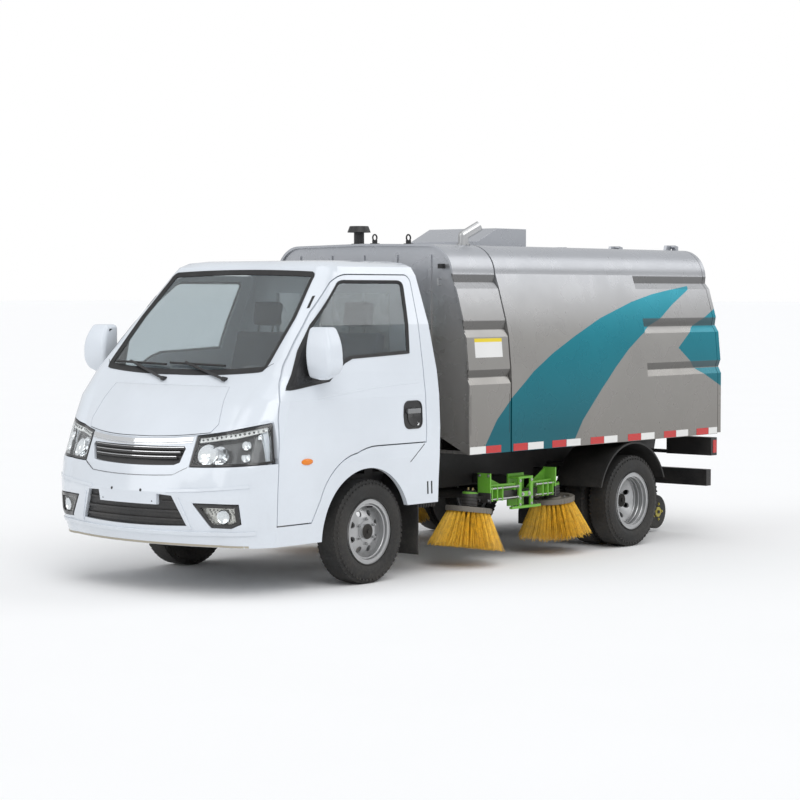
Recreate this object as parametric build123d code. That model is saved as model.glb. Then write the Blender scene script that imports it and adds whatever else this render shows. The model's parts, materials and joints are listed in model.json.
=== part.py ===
from build123d import *
import os
from math import cos, hypot, radians, sin

# Small street sweeper truck. Millimetres. The front faces -Y, the left side is +X, Z is up.
# The origin is on the ground, midway along the length and the width.

# ---------------------------------------------------------------- driving dimensions
WHEELBASE = 2700
FRONT_OVERHANG = 1225
REAR_OVERHANG = 1105
NOSE_Y = -(FRONT_OVERHANG + WHEELBASE + REAR_OVERHANG) / 2
FRONT_AXLE_Y = NOSE_Y + FRONT_OVERHANG
REAR_AXLE_Y = FRONT_AXLE_Y + WHEELBASE
TAIL_Y = REAR_AXLE_Y + REAR_OVERHANG

SEAT_GAP = 0.3          # between pieces that rest on each other on different bodies
PIN_GAP = 0.4           # radial, between a pin and its bore
FAR = 3000              # longer than any cut has to reach

# wheels
TYRE_R = 313
TYRE_WIDTH = 176
TYRE_SHOULDER = 24
RIM_SEAT_R = 178
RIM_FLANGE_R = 196
RIM_WIDTH = 146
RIM_WALL = 9
DISC_WALL = 12
HAND_HOLES = 8
HAND_HOLE_R = 19
HAND_HOLE_CIRCLE_R = 116
HUB_R = 62
SPINDLE_R = 22
FRONT_RIM_FACE_X = 815
REAR_RIM_FACE_X = 874
TWIN_SPACING = 205
FRONT_DISC_IN = 30      # front disc's outer face, in from the rim's outer face
HUB_CAP_OUT = 12        # front hub cap, in from the rim's outer face

# axles and steering
KINGPIN_X = 615
KINGPIN_R = 13
AXLE_BEAM_HALF_Y = 34
AXLE_BEAM_HALF_Z = 32
KNUCKLE_PLATE = 18
KNUCKLE_WEB = 16
REAR_TUBE_R = 45
DIFF_R = 112
DIFF_WIDTH = 250
SPRING_X = 415
SPRING_WIDTH = 60
SPRING_HALF_LENGTH = 450
SPRING_CAMBER = 70
SPRING_PACK = 42
SPRING_END = 14

# frame
RAIL_X = 330
RAIL_WIDTH = 60
RAIL_BOTTOM_Z = 470
RAIL_TOP_Z = 610
RAIL_FRONT_DEPTH = 100
CROSS_HALF_Y = 35
CROSS_DEPTH = 80
MOUNT_PAD = 80

# cab
CAB_HALF_W = 867
CAB_WALL = 30
CAB_REAR_Y = FRONT_AXLE_Y + 612
DOOR_SEAM_Y = FRONT_AXLE_Y - 842
DOOR_GAP = 7
DOOR_SEAL = 0.6
BONNET_GAP = 4
BONNET_HINGE_GAP = 0.5
BONNET_TOP_Z = 1200
LID_WALL = 22
MIRROR_PLATE_REAR = -450
GLASS_IN = 8
GLASS_WALL = 5
FLOOR_WALL = 25
FLOOR_Z = 735
FOOTWELL_Z = 445
ARCH_R = 400
ARCH_Y = FRONT_AXLE_Y - 50
ARCH_Z = 300

# sweeper body
BODY_HALF_W = 890
BODY_BOTTOM_Z = 727
BODY_TOP_Z = 2060
BODY_WALL = 38
HOUSING_FRONT_Y = FRONT_AXLE_Y + 874
HOUSING_LENGTH = 424
HOPPER_GAP = 14
HOPPER_FRONT_Y = HOUSING_FRONT_Y + HOUSING_LENGTH + HOPPER_GAP
TAILGATE_WALL = 40
TAILGATE_GAP = 5
HOPPER_REAR_Y = TAIL_Y - TAILGATE_WALL - TAILGATE_GAP
GROOVE_DEPTH = 22
HOPPER_GROOVE_LENGTH = 900
INLET_R = 118
INLET_Y = 2060

# hopper hinge
TIP_Y = 2470
TIP_Z = 700
TIP_PIN_R = 15
TIP_EYE_R = 20
TIP_EYE_X = 372
TIP_EYE_WIDTH = 30

os.makedirs("parts", exist_ok=True)
NODES = {}


# ---------------------------------------------------------------- helpers
def add(name, *solids):
    """Put solids in a node."""
    NODES.setdefault(name, []).extend(solids)


def block(x, y, z):
    """Box from its (low, high) ranges along X, Y and Z."""
    plane = Plane(origin=(x[0], y[0], z[0]))
    return Solid.make_box(x[1] - x[0], y[1] - y[0], z[1] - z[0], plane)


def rod(start, end, radius):
    """Cylinder between two points."""
    start, end = Vector(*start), Vector(*end)
    along = end - start
    return Solid.make_cylinder(radius, along.length, Plane(origin=start, z_dir=along))


def ring(start, end, outer, inner):
    """Tube between two points."""
    return rod(start, end, outer) - rod(start, end, inner)


def outline(points, place):
    """Closed face. A point is (a, b), or (a, b, mid_a, mid_b) where an arc through mid ends there."""
    edges = []
    last = points[-1][:2]
    for point in points:
        here = point[:2]
        if len(point) == 4:
            edges.append(ThreePointArc(place(*last), place(*point[2:]), place(*here)).edge())
        elif hypot(here[0] - last[0], here[1] - last[1]) > 0.001:
            edges.append(Line(place(*last), place(*here)).edge())
        last = here
    return Face(Wire(edges))


def inset_outline(points, gap):
    """The same outline with every point, arc mids too, moved inwards by gap."""
    dense = []
    for p in points:
        if len(p) == 4:
            dense.append((p[2], p[3], True))
        dense.append((p[0], p[1], False))
    count = len(dense)
    area = sum(dense[i - 1][0] * dense[i][1] - dense[i][0] * dense[i - 1][1] for i in range(count))
    turn = 1 if area > 0 else -1
    moved = []
    for i in range(count):
        here, before, after = dense[i], dense[i - 1], dense[(i + 1) % count]
        normals = []
        for start, end in ((before, here), (here, after)):
            da, db = end[0] - start[0], end[1] - start[1]
            size = hypot(da, db)
            normals.append((-db / size * turn, da / size * turn))
        (a1, b1), (a2, b2) = normals
        share = gap / (1 + a1 * a2 + b1 * b2)
        moved.append((here[0] + (a1 + a2) * share, here[1] + (b1 + b2) * share, here[2]))
    result = []
    mid = None
    for a, b, is_mid in moved:
        if is_mid:
            mid = (a, b)
        else:
            result.append((a, b) if mid is None else (a, b, *mid))
            mid = None
    return result


def along_x(points, x):
    """Prism of a (y, z) outline over the range x."""
    face = outline(points, lambda a, b: (x[0], a, b))
    return Solid.extrude(face, Vector(x[1] - x[0], 0, 0))


def along_y(points, y):
    """Prism of an (x, z) outline over the range y."""
    face = outline(points, lambda a, b: (a, y[0], b))
    return Solid.extrude(face, Vector(0, y[1] - y[0], 0))


def turned(points, x, y, z):
    """Solid of revolution about the X line through (y, z). Points are (along x, radius)."""
    face = outline(points, lambda a, b: (x + a, y, z + b))
    return Solid.revolve(face, 360, Axis((x, y, z), (1, 0, 0)))


def join(*shapes):
    """One solid from shapes that touch or overlap."""
    whole = shapes[0].fuse(*shapes[1:]) if len(shapes) > 1 else shapes[0]
    return whole.clean()


def cut(shape, *tools):
    """The shape without the tools."""
    return shape.cut(*tools)


def other_side(shape):
    """The same shape on the other side of the truck."""
    return mirror(shape, about=Plane.YZ)


def both_sides(shape):
    """The shape and its mirror image."""
    return [shape, other_side(shape)]


def solids_of(shape):
    """Largest first."""
    return sorted(shape.solids(), key=lambda s: -s.volume)


# ---------------------------------------------------------------- wheels
def tyre_section():
    """(x, radius) outline of a tyre, bore on the rim."""
    half = TYRE_WIDTH / 2
    bead_half = RIM_WIDTH / 2 - RIM_WALL
    bore = RIM_SEAT_R + SEAT_GAP
    flange = RIM_FLANGE_R + 1.5
    bead_out = RIM_WIDTH / 2 + 2
    wide_r = (TYRE_R + RIM_SEAT_R) / 2
    right = [(bead_half, bore), (bead_half, flange), (bead_out, flange + 4),
             (half - TYRE_SHOULDER, TYRE_R - 5, half, wide_r + 8), (half - TYRE_SHOULDER - 14, TYRE_R)]
    left = [(-half + TYRE_SHOULDER + 14, TYRE_R), (-half + TYRE_SHOULDER, TYRE_R - 5),
            (-bead_out, flange + 4, -half, wide_r + 8), (-bead_half, flange), (-bead_half, bore)]
    return right + left


def barrel(center_x, y, z):
    """Rim barrel with its two flanges."""
    half = RIM_WIDTH / 2
    seat, lip = RIM_SEAT_R, RIM_FLANGE_R
    points = [(-half, lip), (-half, seat - RIM_WALL), (half, seat - RIM_WALL), (half, lip),
              (half - RIM_WALL, lip), (half - RIM_WALL, seat), (-half + RIM_WALL, seat),
              (-half + RIM_WALL, lip)]
    return turned(points, center_x, y, z)


def disc(outer_x, rim_x, y, z, bore):
    """Dished wheel disc: a flat hub face at outer_x and a cone to the barrel at rim_x."""
    inner = RIM_SEAT_R - RIM_WALL
    flat_r = HUB_R + 24
    wall = DISC_WALL if rim_x < outer_x else -DISC_WALL
    points = [(outer_x, bore), (outer_x, flat_r), (rim_x, inner), (rim_x - wall, inner),
              (outer_x - wall, flat_r), (outer_x - wall, bore)]
    plate = turned(points, 0, y, z)
    holes = []
    for i in range(HAND_HOLES):
        a = radians(360 * (i + 0.5) / HAND_HOLES)
        hy, hz = y + HAND_HOLE_CIRCLE_R * cos(a), z + HAND_HOLE_CIRCLE_R * sin(a)
        low, high = min(outer_x, rim_x) - 40, max(outer_x, rim_x) + 40
        holes.append(rod((low, hy, hz), (high, hy, hz), HAND_HOLE_R))
    return cut(plate, *holes)


def front_wheel():
    """Left front tyre and rim. The bore runs on the spindle."""
    center = FRONT_RIM_FACE_X - RIM_WIDTH / 2
    y, z = FRONT_AXLE_Y, TYRE_R
    tyre = turned(tyre_section(), center, y, z)
    face = FRONT_RIM_FACE_X - FRONT_DISC_IN
    plate = disc(face, face - 34, y, z, HUB_R - 6)
    hub = ring((face - 74, y, z), (face + 4, y, z), HUB_R, SPINDLE_R + PIN_GAP)
    cap = rod((face + 4, y, z), (FRONT_RIM_FACE_X - HUB_CAP_OUT, y, z), HUB_R - 16)
    rim = join(barrel(center, y, z), plate, hub, cap)
    return tyre, rim, face


def rear_wheel():
    """Left twin rear tyres and their two rims, joined at the discs."""
    outer = REAR_RIM_FACE_X - RIM_WIDTH / 2
    inner = outer - TWIN_SPACING
    y, z = REAR_AXLE_Y, TYRE_R
    tyres = [turned(tyre_section(), c, y, z) for c in (outer, inner)]
    middle = (outer + inner) / 2
    bore = SPINDLE_R + PIN_GAP
    plates = [disc(middle + DISC_WALL, outer - 26, y, z, HUB_R - 6),
              disc(middle - DISC_WALL, inner + 26, y, z, HUB_R - 6)]
    hub = ring((middle - 70, y, z), (middle + 66, y, z), HUB_R, bore)
    cap = rod((middle + 66, y, z), (middle + 86, y, z), HUB_R - 14)
    rim = join(barrel(outer, y, z), barrel(inner, y, z), *plates, hub, cap)
    return tyres, rim, middle


def build_wheels():
    """Tyres and rims: single in front, twin at the rear."""
    tyre, rim, face = front_wheel()
    add("tyre_front_left", tyre)
    add("tyre_front_right", other_side(tyre))
    add("rim_front_left", rim)
    add("rim_front_right", other_side(rim))
    tyres, rims, middle = rear_wheel()
    add("tyres_rear_left", *tyres)
    add("tyres_rear_right", *[other_side(t) for t in tyres])
    add("rims_rear_left", rims)
    add("rims_rear_right", other_side(rims))
    return face, middle


# ---------------------------------------------------------------- axles and springs
def leaf_spring(y, seat_z):
    """Leaf pack that rests on its axle pad at seat_z and rises to both ends."""
    end_z = seat_z + SPRING_CAMBER
    half = SPRING_HALF_LENGTH
    points = [(y - half, end_z + SPRING_END), (y - half, end_z),
              (y + half, end_z, y, seat_z), (y + half, end_z + SPRING_END),
              (y - half, end_z + SPRING_END, y, seat_z + SPRING_PACK)]
    return along_x(points, (SPRING_X - SPRING_WIDTH / 2, SPRING_X + SPRING_WIDTH / 2))


def build_front_axle(hub_face):
    """Beam, springs, kingpins and knuckles."""
    y, z = FRONT_AXLE_Y, TYRE_R
    boss_r = KINGPIN_R + 15
    boss_z = (z - 55, z + 55)
    beam = block((-KINGPIN_X, KINGPIN_X), (y - AXLE_BEAM_HALF_Y, y + AXLE_BEAM_HALF_Y),
                 (z - AXLE_BEAM_HALF_Z, z + AXLE_BEAM_HALF_Z))
    pad = block((SPRING_X - SPRING_WIDTH / 2, SPRING_X + SPRING_WIDTH / 2), (y - 60, y + 60),
                (z + AXLE_BEAM_HALF_Z - 4, z + AXLE_BEAM_HALF_Z + 6))
    pads = both_sides(pad)
    bosses = [rod((s * KINGPIN_X, y, boss_z[0]), (s * KINGPIN_X, y, boss_z[1]), boss_r) for s in (1, -1)]
    bores = [rod((s * KINGPIN_X, y, 0), (s * KINGPIN_X, y, FAR), KINGPIN_R + PIN_GAP) for s in (1, -1)]
    beam = cut(join(beam, *bosses, *pads), *bores)
    spring = leaf_spring(y, z + AXLE_BEAM_HALF_Z + 6)
    add("front_axle", beam, *both_sides(spring))

    plate_x = (KINGPIN_X - boss_r - 4, KINGPIN_X + boss_r + KNUCKLE_WEB + 4)
    low = (boss_z[0] - KNUCKLE_PLATE - 1, boss_z[0] - 1)
    high = (boss_z[1] + 1, boss_z[1] + KNUCKLE_PLATE + 1)
    web = block((plate_x[1] - KNUCKLE_WEB, plate_x[1]), (y - 40, y + 40), (low[0], high[1]))
    arms = [block(plate_x, (y - 30, y + 30), r) for r in (low, high)]
    kingpin = rod((KINGPIN_X, y, low[0]), (KINGPIN_X, y, high[1]), KINGPIN_R)
    spindle = rod((plate_x[1] - 2, y, z), (hub_face - 4, y, z), SPINDLE_R)
    knuckle = join(web, *arms, kingpin, spindle)
    add("knuckle_left", knuckle)
    add("knuckle_right", other_side(knuckle))


def build_rear_axle(middle):
    """Tube, differential, springs and half shafts."""
    y, z = REAR_AXLE_Y, TYRE_R
    tube = rod((-middle + 82, y, z), (middle - 82, y, z), REAR_TUBE_R)
    stubs = rod((-middle - 60, y, z), (middle + 60, y, z), SPINDLE_R)
    casing = rod((-DIFF_WIDTH / 2, y, z), (DIFF_WIDTH / 2, y, z), DIFF_R)
    pad = block((SPRING_X - SPRING_WIDTH / 2, SPRING_X + SPRING_WIDTH / 2), (y - 60, y + 60),
                (z + REAR_TUBE_R - 12, z + REAR_TUBE_R + 6))
    axle = join(tube, stubs, casing, *both_sides(pad))
    spring = leaf_spring(y, z + REAR_TUBE_R + 6)
    add("rear_axle", axle, *both_sides(spring))


# ---------------------------------------------------------------- frame
TIP_BARREL_PIN = (700, 500)       # (y, z) of the lower cylinder pins
TIP_ROD_PIN = (1500, 676)         # (y, z) of the rod eyes with the hopper down
TIP_CYLINDER_X = 190
TIP_BARREL_R = 42
TIP_ROD_R = 24
NOZZLE_PIVOT = (1905, 418)
BRUSH_BRACKET_Y = FRONT_AXLE_Y + 1605
BRUSH_BRACKET_X = (690, 702)
CROSSES_Y = (-2300, -1205, -260, 500, 1860, 2360)


def build_frame():
    """Rails with their crossmembers and mounting pads."""
    x = (RAIL_X - RAIL_WIDTH / 2, RAIL_X + RAIL_WIDTH / 2)
    front_top = FOOTWELL_Z - SEAT_GAP
    front_end = NOSE_Y + 185
    rear_end = TAIL_Y - 90
    kick = FRONT_AXLE_Y - 250
    side = [(front_end, front_top - RAIL_FRONT_DEPTH), (kick - 160, front_top - RAIL_FRONT_DEPTH),
            (kick, RAIL_BOTTOM_Z), (rear_end, RAIL_BOTTOM_Z), (rear_end, RAIL_TOP_Z),
            (kick - 60, RAIL_TOP_Z), (kick - 205, front_top), (front_end, front_top)]
    rail = along_x(side, x)
    bearer = block(x, (HOUSING_FRONT_Y + 20, TIP_Y - 40),
                   (RAIL_TOP_Z, BODY_BOTTOM_Z - SEAT_GAP))
    cab_mounts = [block(x, (y - MOUNT_PAD / 2, y + MOUNT_PAD / 2), (RAIL_TOP_Z, FLOOR_Z - SEAT_GAP))
                  for y in (CAB_REAR_Y - 90, FRONT_AXLE_Y - 120)]
    pieces = [rail, bearer, *cab_mounts]
    for axle_y, seat in ((FRONT_AXLE_Y, TYRE_R + AXLE_BEAM_HALF_Z + 6),
                         (REAR_AXLE_Y, TYRE_R + REAR_TUBE_R + 6)):
        eye_z = seat + SPRING_CAMBER + SPRING_END
        for s in (-1, 1):
            y = axle_y + s * (SPRING_HALF_LENGTH - 30)
            pieces.append(block((x[1] - 5, SPRING_X + SPRING_WIDTH / 2), (y - 30, y + 30),
                                (eye_z + SEAT_GAP, RAIL_BOTTOM_Z + 70)))
    tail = along_x([(rear_end - 60, RAIL_BOTTOM_Z), (rear_end, RAIL_BOTTOM_Z),
                    (TIP_Y + TIP_EYE_R, TIP_Z), (TIP_Y - TIP_EYE_R, TIP_Z, TIP_Y, TIP_Z + TIP_EYE_R),
                    (rear_end - 60, RAIL_TOP_Z)], (x[0] + 5, x[1] - 8))
    pin_bore = rod((0, TIP_Y, TIP_Z), (FAR, TIP_Y, TIP_Z), TIP_PIN_R + PIN_GAP)
    pieces.append(tail)
    left = cut(join(*pieces), pin_bore)
    crosses = []
    for y in CROSSES_Y:
        low = front_top - RAIL_FRONT_DEPTH + 10 if y < FRONT_AXLE_Y - 400 else RAIL_BOTTOM_Z + 30
        crosses.append(block((-x[0] - 10, x[0] + 10), (y - CROSS_HALF_Y, y + CROSS_HALF_Y),
                             (low, low + CROSS_DEPTH)))
    crosses.append(rod((-x[0] - 10, *TIP_BARREL_PIN), (x[0] + 10, *TIP_BARREL_PIN), 25))
    beam = block((-430, 430), (front_end - 40, front_end + 30),
                 (front_top - RAIL_FRONT_DEPTH, front_top))
    outrigger = block((-BRUSH_BRACKET_X[0], BRUSH_BRACKET_X[0]),
                      (BRUSH_BRACKET_Y - 30, BRUSH_BRACKET_Y + 30), (RAIL_BOTTOM_Z + 15, RAIL_BOTTOM_Z + 75))
    nozzle_pins = rod((-400, *NOZZLE_PIVOT), (400, *NOZZLE_PIVOT), 14)
    hangers = [block((s * RAIL_X - 25, s * RAIL_X + 25), (NOZZLE_PIVOT[0] - 30, NOZZLE_PIVOT[0] + 30),
                     (NOZZLE_PIVOT[1] - 25, RAIL_BOTTOM_Z + 10)) for s in (1, -1)]
    frame = join(left, other_side(left), *crosses, beam, outrigger, nozzle_pins, *hangers)
    add("chassis_frame", frame)


def build_powertrain():
    """Plain engine and gearbox block and the shaft to the rear axle."""
    engine = block((-230, 230), (FRONT_AXLE_Y + 140, FRONT_AXLE_Y + 590), (400, 695))
    gearbox = block((-120, 120), (FRONT_AXLE_Y + 580, FRONT_AXLE_Y + 930), (380, 580))
    flange_y = REAR_AXLE_Y - DIFF_R
    shaft = rod((0, FRONT_AXLE_Y + 920, 430), (0, flange_y + 8, TYRE_R + 20), 34)
    casing = rod((-FAR, REAR_AXLE_Y, TYRE_R), (FAR, REAR_AXLE_Y, TYRE_R), DIFF_R + SEAT_GAP)
    reach = RAIL_X - RAIL_WIDTH / 2 - SEAT_GAP
    mounts = [block((-reach, reach), (FRONT_AXLE_Y + d, FRONT_AXLE_Y + d + 60), (500, 540))
              for d in (250, 760)]
    add("powertrain", join(engine, gearbox, *mounts, cut(shaft, casing)))


# ---------------------------------------------------------------- cab
# z, nose y at the middle, corner x, corner y, inset of the side, side y, inset of the rear.
# The y columns are from the front axle.
CAB_SECTIONS = (
    (290, -1150, 600, -1045, 27, -835, 0),
    (420, -1205, 620, -1090, 18, -845, 0),
    (600, -1225, 620, -1105, 12, -848, 0),
    (740, -1195, 620, -1075, 4, -845, 0),
    (915, -1135, 600, -1005, 0, -800, 0),
    (1120, -955, 640, -885, 9, -740, 0),
    (1265, -795, 690, -765, 28, -620, 0),
    (1550, -527, 645, -507, 95, -370, 0),
    (1850, -245, 600, -235, 195, -120, 6),
    (1900, -208, 570, -200, 225, -90, 14),
    (1926, -175, 520, -165, 275, -30, 40),
    (1938, -80, 440, -70, 345, 50, 90),
)


def cab_form(inset, bottom=None):
    """Closed cab form, its skin moved in by inset."""
    wires = []
    last = len(CAB_SECTIONS) - 1
    for i, (z, nose, corner_x, corner_y, side_in, side_y, rear_in) in enumerate(CAB_SECTIONS):
        level = z
        if i == last:
            level = z - inset
        if i == 0:
            level = z if bottom is None else bottom
        drop = inset * 0.8 if z > 1880 and i < last else 0
        x = CAB_HALF_W - side_in - inset
        cx = corner_x - inset * 0.5
        front = FRONT_AXLE_Y + nose + inset * 1.15
        cy = FRONT_AXLE_Y + corner_y + inset * 1.15
        sy = FRONT_AXLE_Y + side_y + inset * 0.6
        rear = CAB_REAR_Y - rear_in - inset
        bulge = 0.17
        mx, my = (x + cx) / 2 + bulge * (sy - cy), (sy + cy) / 2 - bulge * (x - cx)
        level -= drop

        def at(a, b, level=level):
            return (a, b, level)

        edges = [Line(at(-x, rear), at(-x, sy)).edge(),
                 ThreePointArc(at(-x, sy), at(-mx, my), at(-cx, cy)).edge(),
                 ThreePointArc(at(-cx, cy), at(0, front), at(cx, cy)).edge(),
                 ThreePointArc(at(cx, cy), at(mx, my), at(x, sy)).edge(),
                 Line(at(x, sy), at(x, rear)).edge(),
                 Line(at(x, rear), at(-x, rear)).edge()]
        wires.append(Wire(edges))
    return Solid.make_loft(wires, ruled=True)


def from_axle(points):
    """(y, z) points whose y is given from the front axle."""
    moved = []
    for p in points:
        here = (p[0] + FRONT_AXLE_Y, p[1])
        if len(p) == 4:
            here += (p[2] + FRONT_AXLE_Y, p[3])
        moved.append(here)
    return moved


DOOR_REAR = 485
DOOR_TOP_Z = 1856
DOOR_BOTTOM_Z = 405
DOOR_OVER_ARCH_Z = 826
# door opening seen from the side: y from the front axle, z
DOOR_OUTLINE = [
    (DOOR_REAR, DOOR_OVER_ARCH_Z), (DOOR_REAR, 1250), (530, 1671), (542, 1800), (490, DOOR_TOP_Z, 530, 1840),
    (-30, DOOR_TOP_Z), (-205, 1804, -122, 1842), (-401, 1630), (-561, 1462), (-647, 1367),
    (-753, 1229, -705, 1300), (-823, 1015, -797, 1120), (-842, 800), (-842, DOOR_BOTTOM_Z),
    (-545, DOOR_BOTTOM_Z), (-468, 540), (-156, 792, -352, 706), (25, DOOR_OVER_ARCH_Z, -70, 817),
]
WINDOW_OUTLINE = [
    (374, 1378), (427, 1634), (452, 1770), (405, 1812, 446, 1802), (-84, 1812), (-160, 1782, -128, 1804),
    (-440, 1550), (-578, 1401), (-737, 1186), (-388, 1229), (-230, 1332, -300, 1290), (-155, 1357),
]
WINDSCREEN_OUTLINE = [
    (-655, 1345), (-625, 1292, -650, 1303), (0, 1268, -320, 1272), (625, 1292, 320, 1272),
    (655, 1345, 650, 1303), (640, 1594), (592, 1815), (545, 1858, 582, 1850), (0, 1870, 280, 1867),
    (-545, 1858, -280, 1867), (-592, 1815, -582, 1850), (-640, 1594),
]
REAR_WINDOW = ((-480, 480), (1330, 1740))


def build_cab():
    """Cab shell, its openings, glass, doors and mirrors."""
    outer = cab_form(0)
    inner = cab_form(CAB_WALL, bottom=200)
    strip = along_x(from_axle([(-880, FOOTWELL_Z), (-880, 955), (-780, 1262), (-750, 1262), (-855, 950),
                               (-855, FOOTWELL_Z + FLOOR_WALL), (-490, FOOTWELL_Z + FLOOR_WALL),
                               (-490, FLOOR_Z + FLOOR_WALL), (700, FLOOR_Z + FLOOR_WALL), (700, FLOOR_Z),
                               (-465, FLOOR_Z), (-465, FOOTWELL_Z)]), (-FAR, FAR))
    shell = cut(outer, cut(inner, strip))
    rear_skirt_z = 452
    arch = rod((-FAR, ARCH_Y, ARCH_Z), (FAR, ARCH_Y, ARCH_Z), ARCH_R)
    behind = block((-FAR, FAR), (ARCH_Y, CAB_REAR_Y + 1), (0, rear_skirt_z))
    rear_open = block((-CAB_HALF_W + 90, CAB_HALF_W - 90), (CAB_REAR_Y - CAB_WALL - 2, CAB_REAR_Y + 2),
                      (0, FLOOR_Z))
    shell = cut(shell, arch, behind, rear_open)

    # openings in the skin
    side_cut = along_x(from_axle(DOOR_OUTLINE), (400, FAR))
    skin = cut(cab_form(0), cab_form(CAB_WALL, bottom=200))
    door_zone = skin & side_cut
    shell = cut(shell, door_zone, other_side(door_zone))
    windscreen_cut = along_y(WINDSCREEN_OUTLINE, (NOSE_Y, FRONT_AXLE_Y - 60))
    rear_cut = block(REAR_WINDOW[0], (CAB_REAR_Y - 60, CAB_REAR_Y + 60), REAR_WINDOW[1])
    screen_zone = windscreen_cut & skin
    shell = cut(shell, screen_zone, rear_cut)

    # glass, set into the middle of the wall
    layer = cut(cab_form(GLASS_IN), cab_form(GLASS_IN + GLASS_WALL))
    screen = layer & along_y(WINDSCREEN_OUTLINE, (NOSE_Y, FRONT_AXLE_Y - 60))
    rear_glass_y = (CAB_REAR_Y - GLASS_IN - GLASS_WALL, CAB_REAR_Y - GLASS_IN)
    rear_glass = block(REAR_WINDOW[0], rear_glass_y, REAR_WINDOW[1])
    add("cab_glass", *solids_of(screen)[:1], rear_glass)

    # doors
    panel_cut = along_x(inset_outline(from_axle(DOOR_OUTLINE), DOOR_GAP), (400, FAR))
    window_cut = along_x(from_axle(WINDOW_OUTLINE), (400, FAR))
    door_skin = cut(cab_form(0), cab_form(CAB_WALL - DOOR_SEAL))
    door = solids_of(cut(door_skin & panel_cut, window_cut))[0]
    plate_y = FRONT_AXLE_Y + MIRROR_PLATE_REAR
    glass = solids_of((layer & window_cut) & block((400, FAR), (plate_y + SEAT_GAP, TAIL_Y), (0, FAR)))[0]
    plate_layer = cut(cab_form(2), cab_form(CAB_WALL - 10)) & window_cut
    triangle = solids_of(plate_layer & block((400, FAR), (NOSE_Y, plate_y), (0, FAR)))[0]
    mirrors = mirror_head(triangle)
    for side, place in (("left", lambda s: s), ("right", other_side)):
        add("door_" + side, place(door))
        add("door_glass_" + side, place(glass))
        add("mirror_" + side, place(mirrors))

    return shell, skin


MIRROR_CENTER = (932, FRONT_AXLE_Y - 535, 1392)
MIRROR_SIZE = (168, 120, 306)
MIRROR_FILLET = 28
# mirror head seen from the front: x, z
MIRROR_OUTLINE = [
    (848, 1256), (848, 1545), (985, 1545), (1042, 1365, 1028, 1462), (1006, 1268, 1038, 1308), (935, 1239),
]


def mirror_head(triangle):
    """Mirror plate, arm and head in one solid."""
    cx, cy, cz = MIRROR_CENTER
    w, d, h = (s / 2 for s in MIRROR_SIZE)
    side_form = along_x([(cy + d, cz + h + 10), (cy + d, cz - h - 10), (cy - d + 30, cz - h - 10),
                         (cy - d + 30, cz + h + 10, cy - d - 12, cz)], (cx - w - 20, cx + 2 * w))
    head = side_form & along_y(MIRROR_OUTLINE, (cy - 2 * d, cy + 2 * d))
    head = head.fillet(MIRROR_FILLET, head.edges())
    arm = rod((790, cy + 50, cz - 118), (cx - w + 30, cy + 20, cz - 118), 20)
    return join(triangle, head, arm)


# front panels, seen from the front: x, z
LAMP_INNER_X = 430
BONNET_OUTLINE = [
    (-535, 990), (-480, BONNET_TOP_Z), (480, BONNET_TOP_Z), (535, 990), (505, 940), (0, 912, 250, 917),
    (-505, 940, -250, 917),
]
LAMP_OUTLINE = [(LAMP_INNER_X, 746, 660, 752), (LAMP_INNER_X, 926), (900, 1026, 650, 962), (900, 774)]
GRILLE_OUTLINE = [
    (-LAMP_INNER_X, 926), (LAMP_INNER_X, 926, 0, 905), (LAMP_INNER_X, 746), (335, 700),
    (-335, 700, 0, 690), (-LAMP_INNER_X, 746),
]
BUMPER_TOP = [(900, 774), (LAMP_INNER_X, 746, 660, 752), (335, 700), (-335, 700, 0, 690),
              (-LAMP_INNER_X, 746), (-900, 774, -660, 752), (-900, 250), (900, 250)]
GRILLE_OPENING = [
    (-395, 846), (-345, 762), (-290, 756), (330, 756, 0, 748), (365, 770), (382, 850), (370, 862),
    (-380, 862, 0, 858),
]
INTAKE_OUTLINE = [
    (-430, 412, 0, 402), (-345, 588), (-242, 590), (-236, 527), (236, 527), (242, 590), (345, 583),
    (430, 412),
]
FOG_OUTLINE = [(475, 545), (745, 545), (752, 430), (700, 405), (580, 405)]


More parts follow.
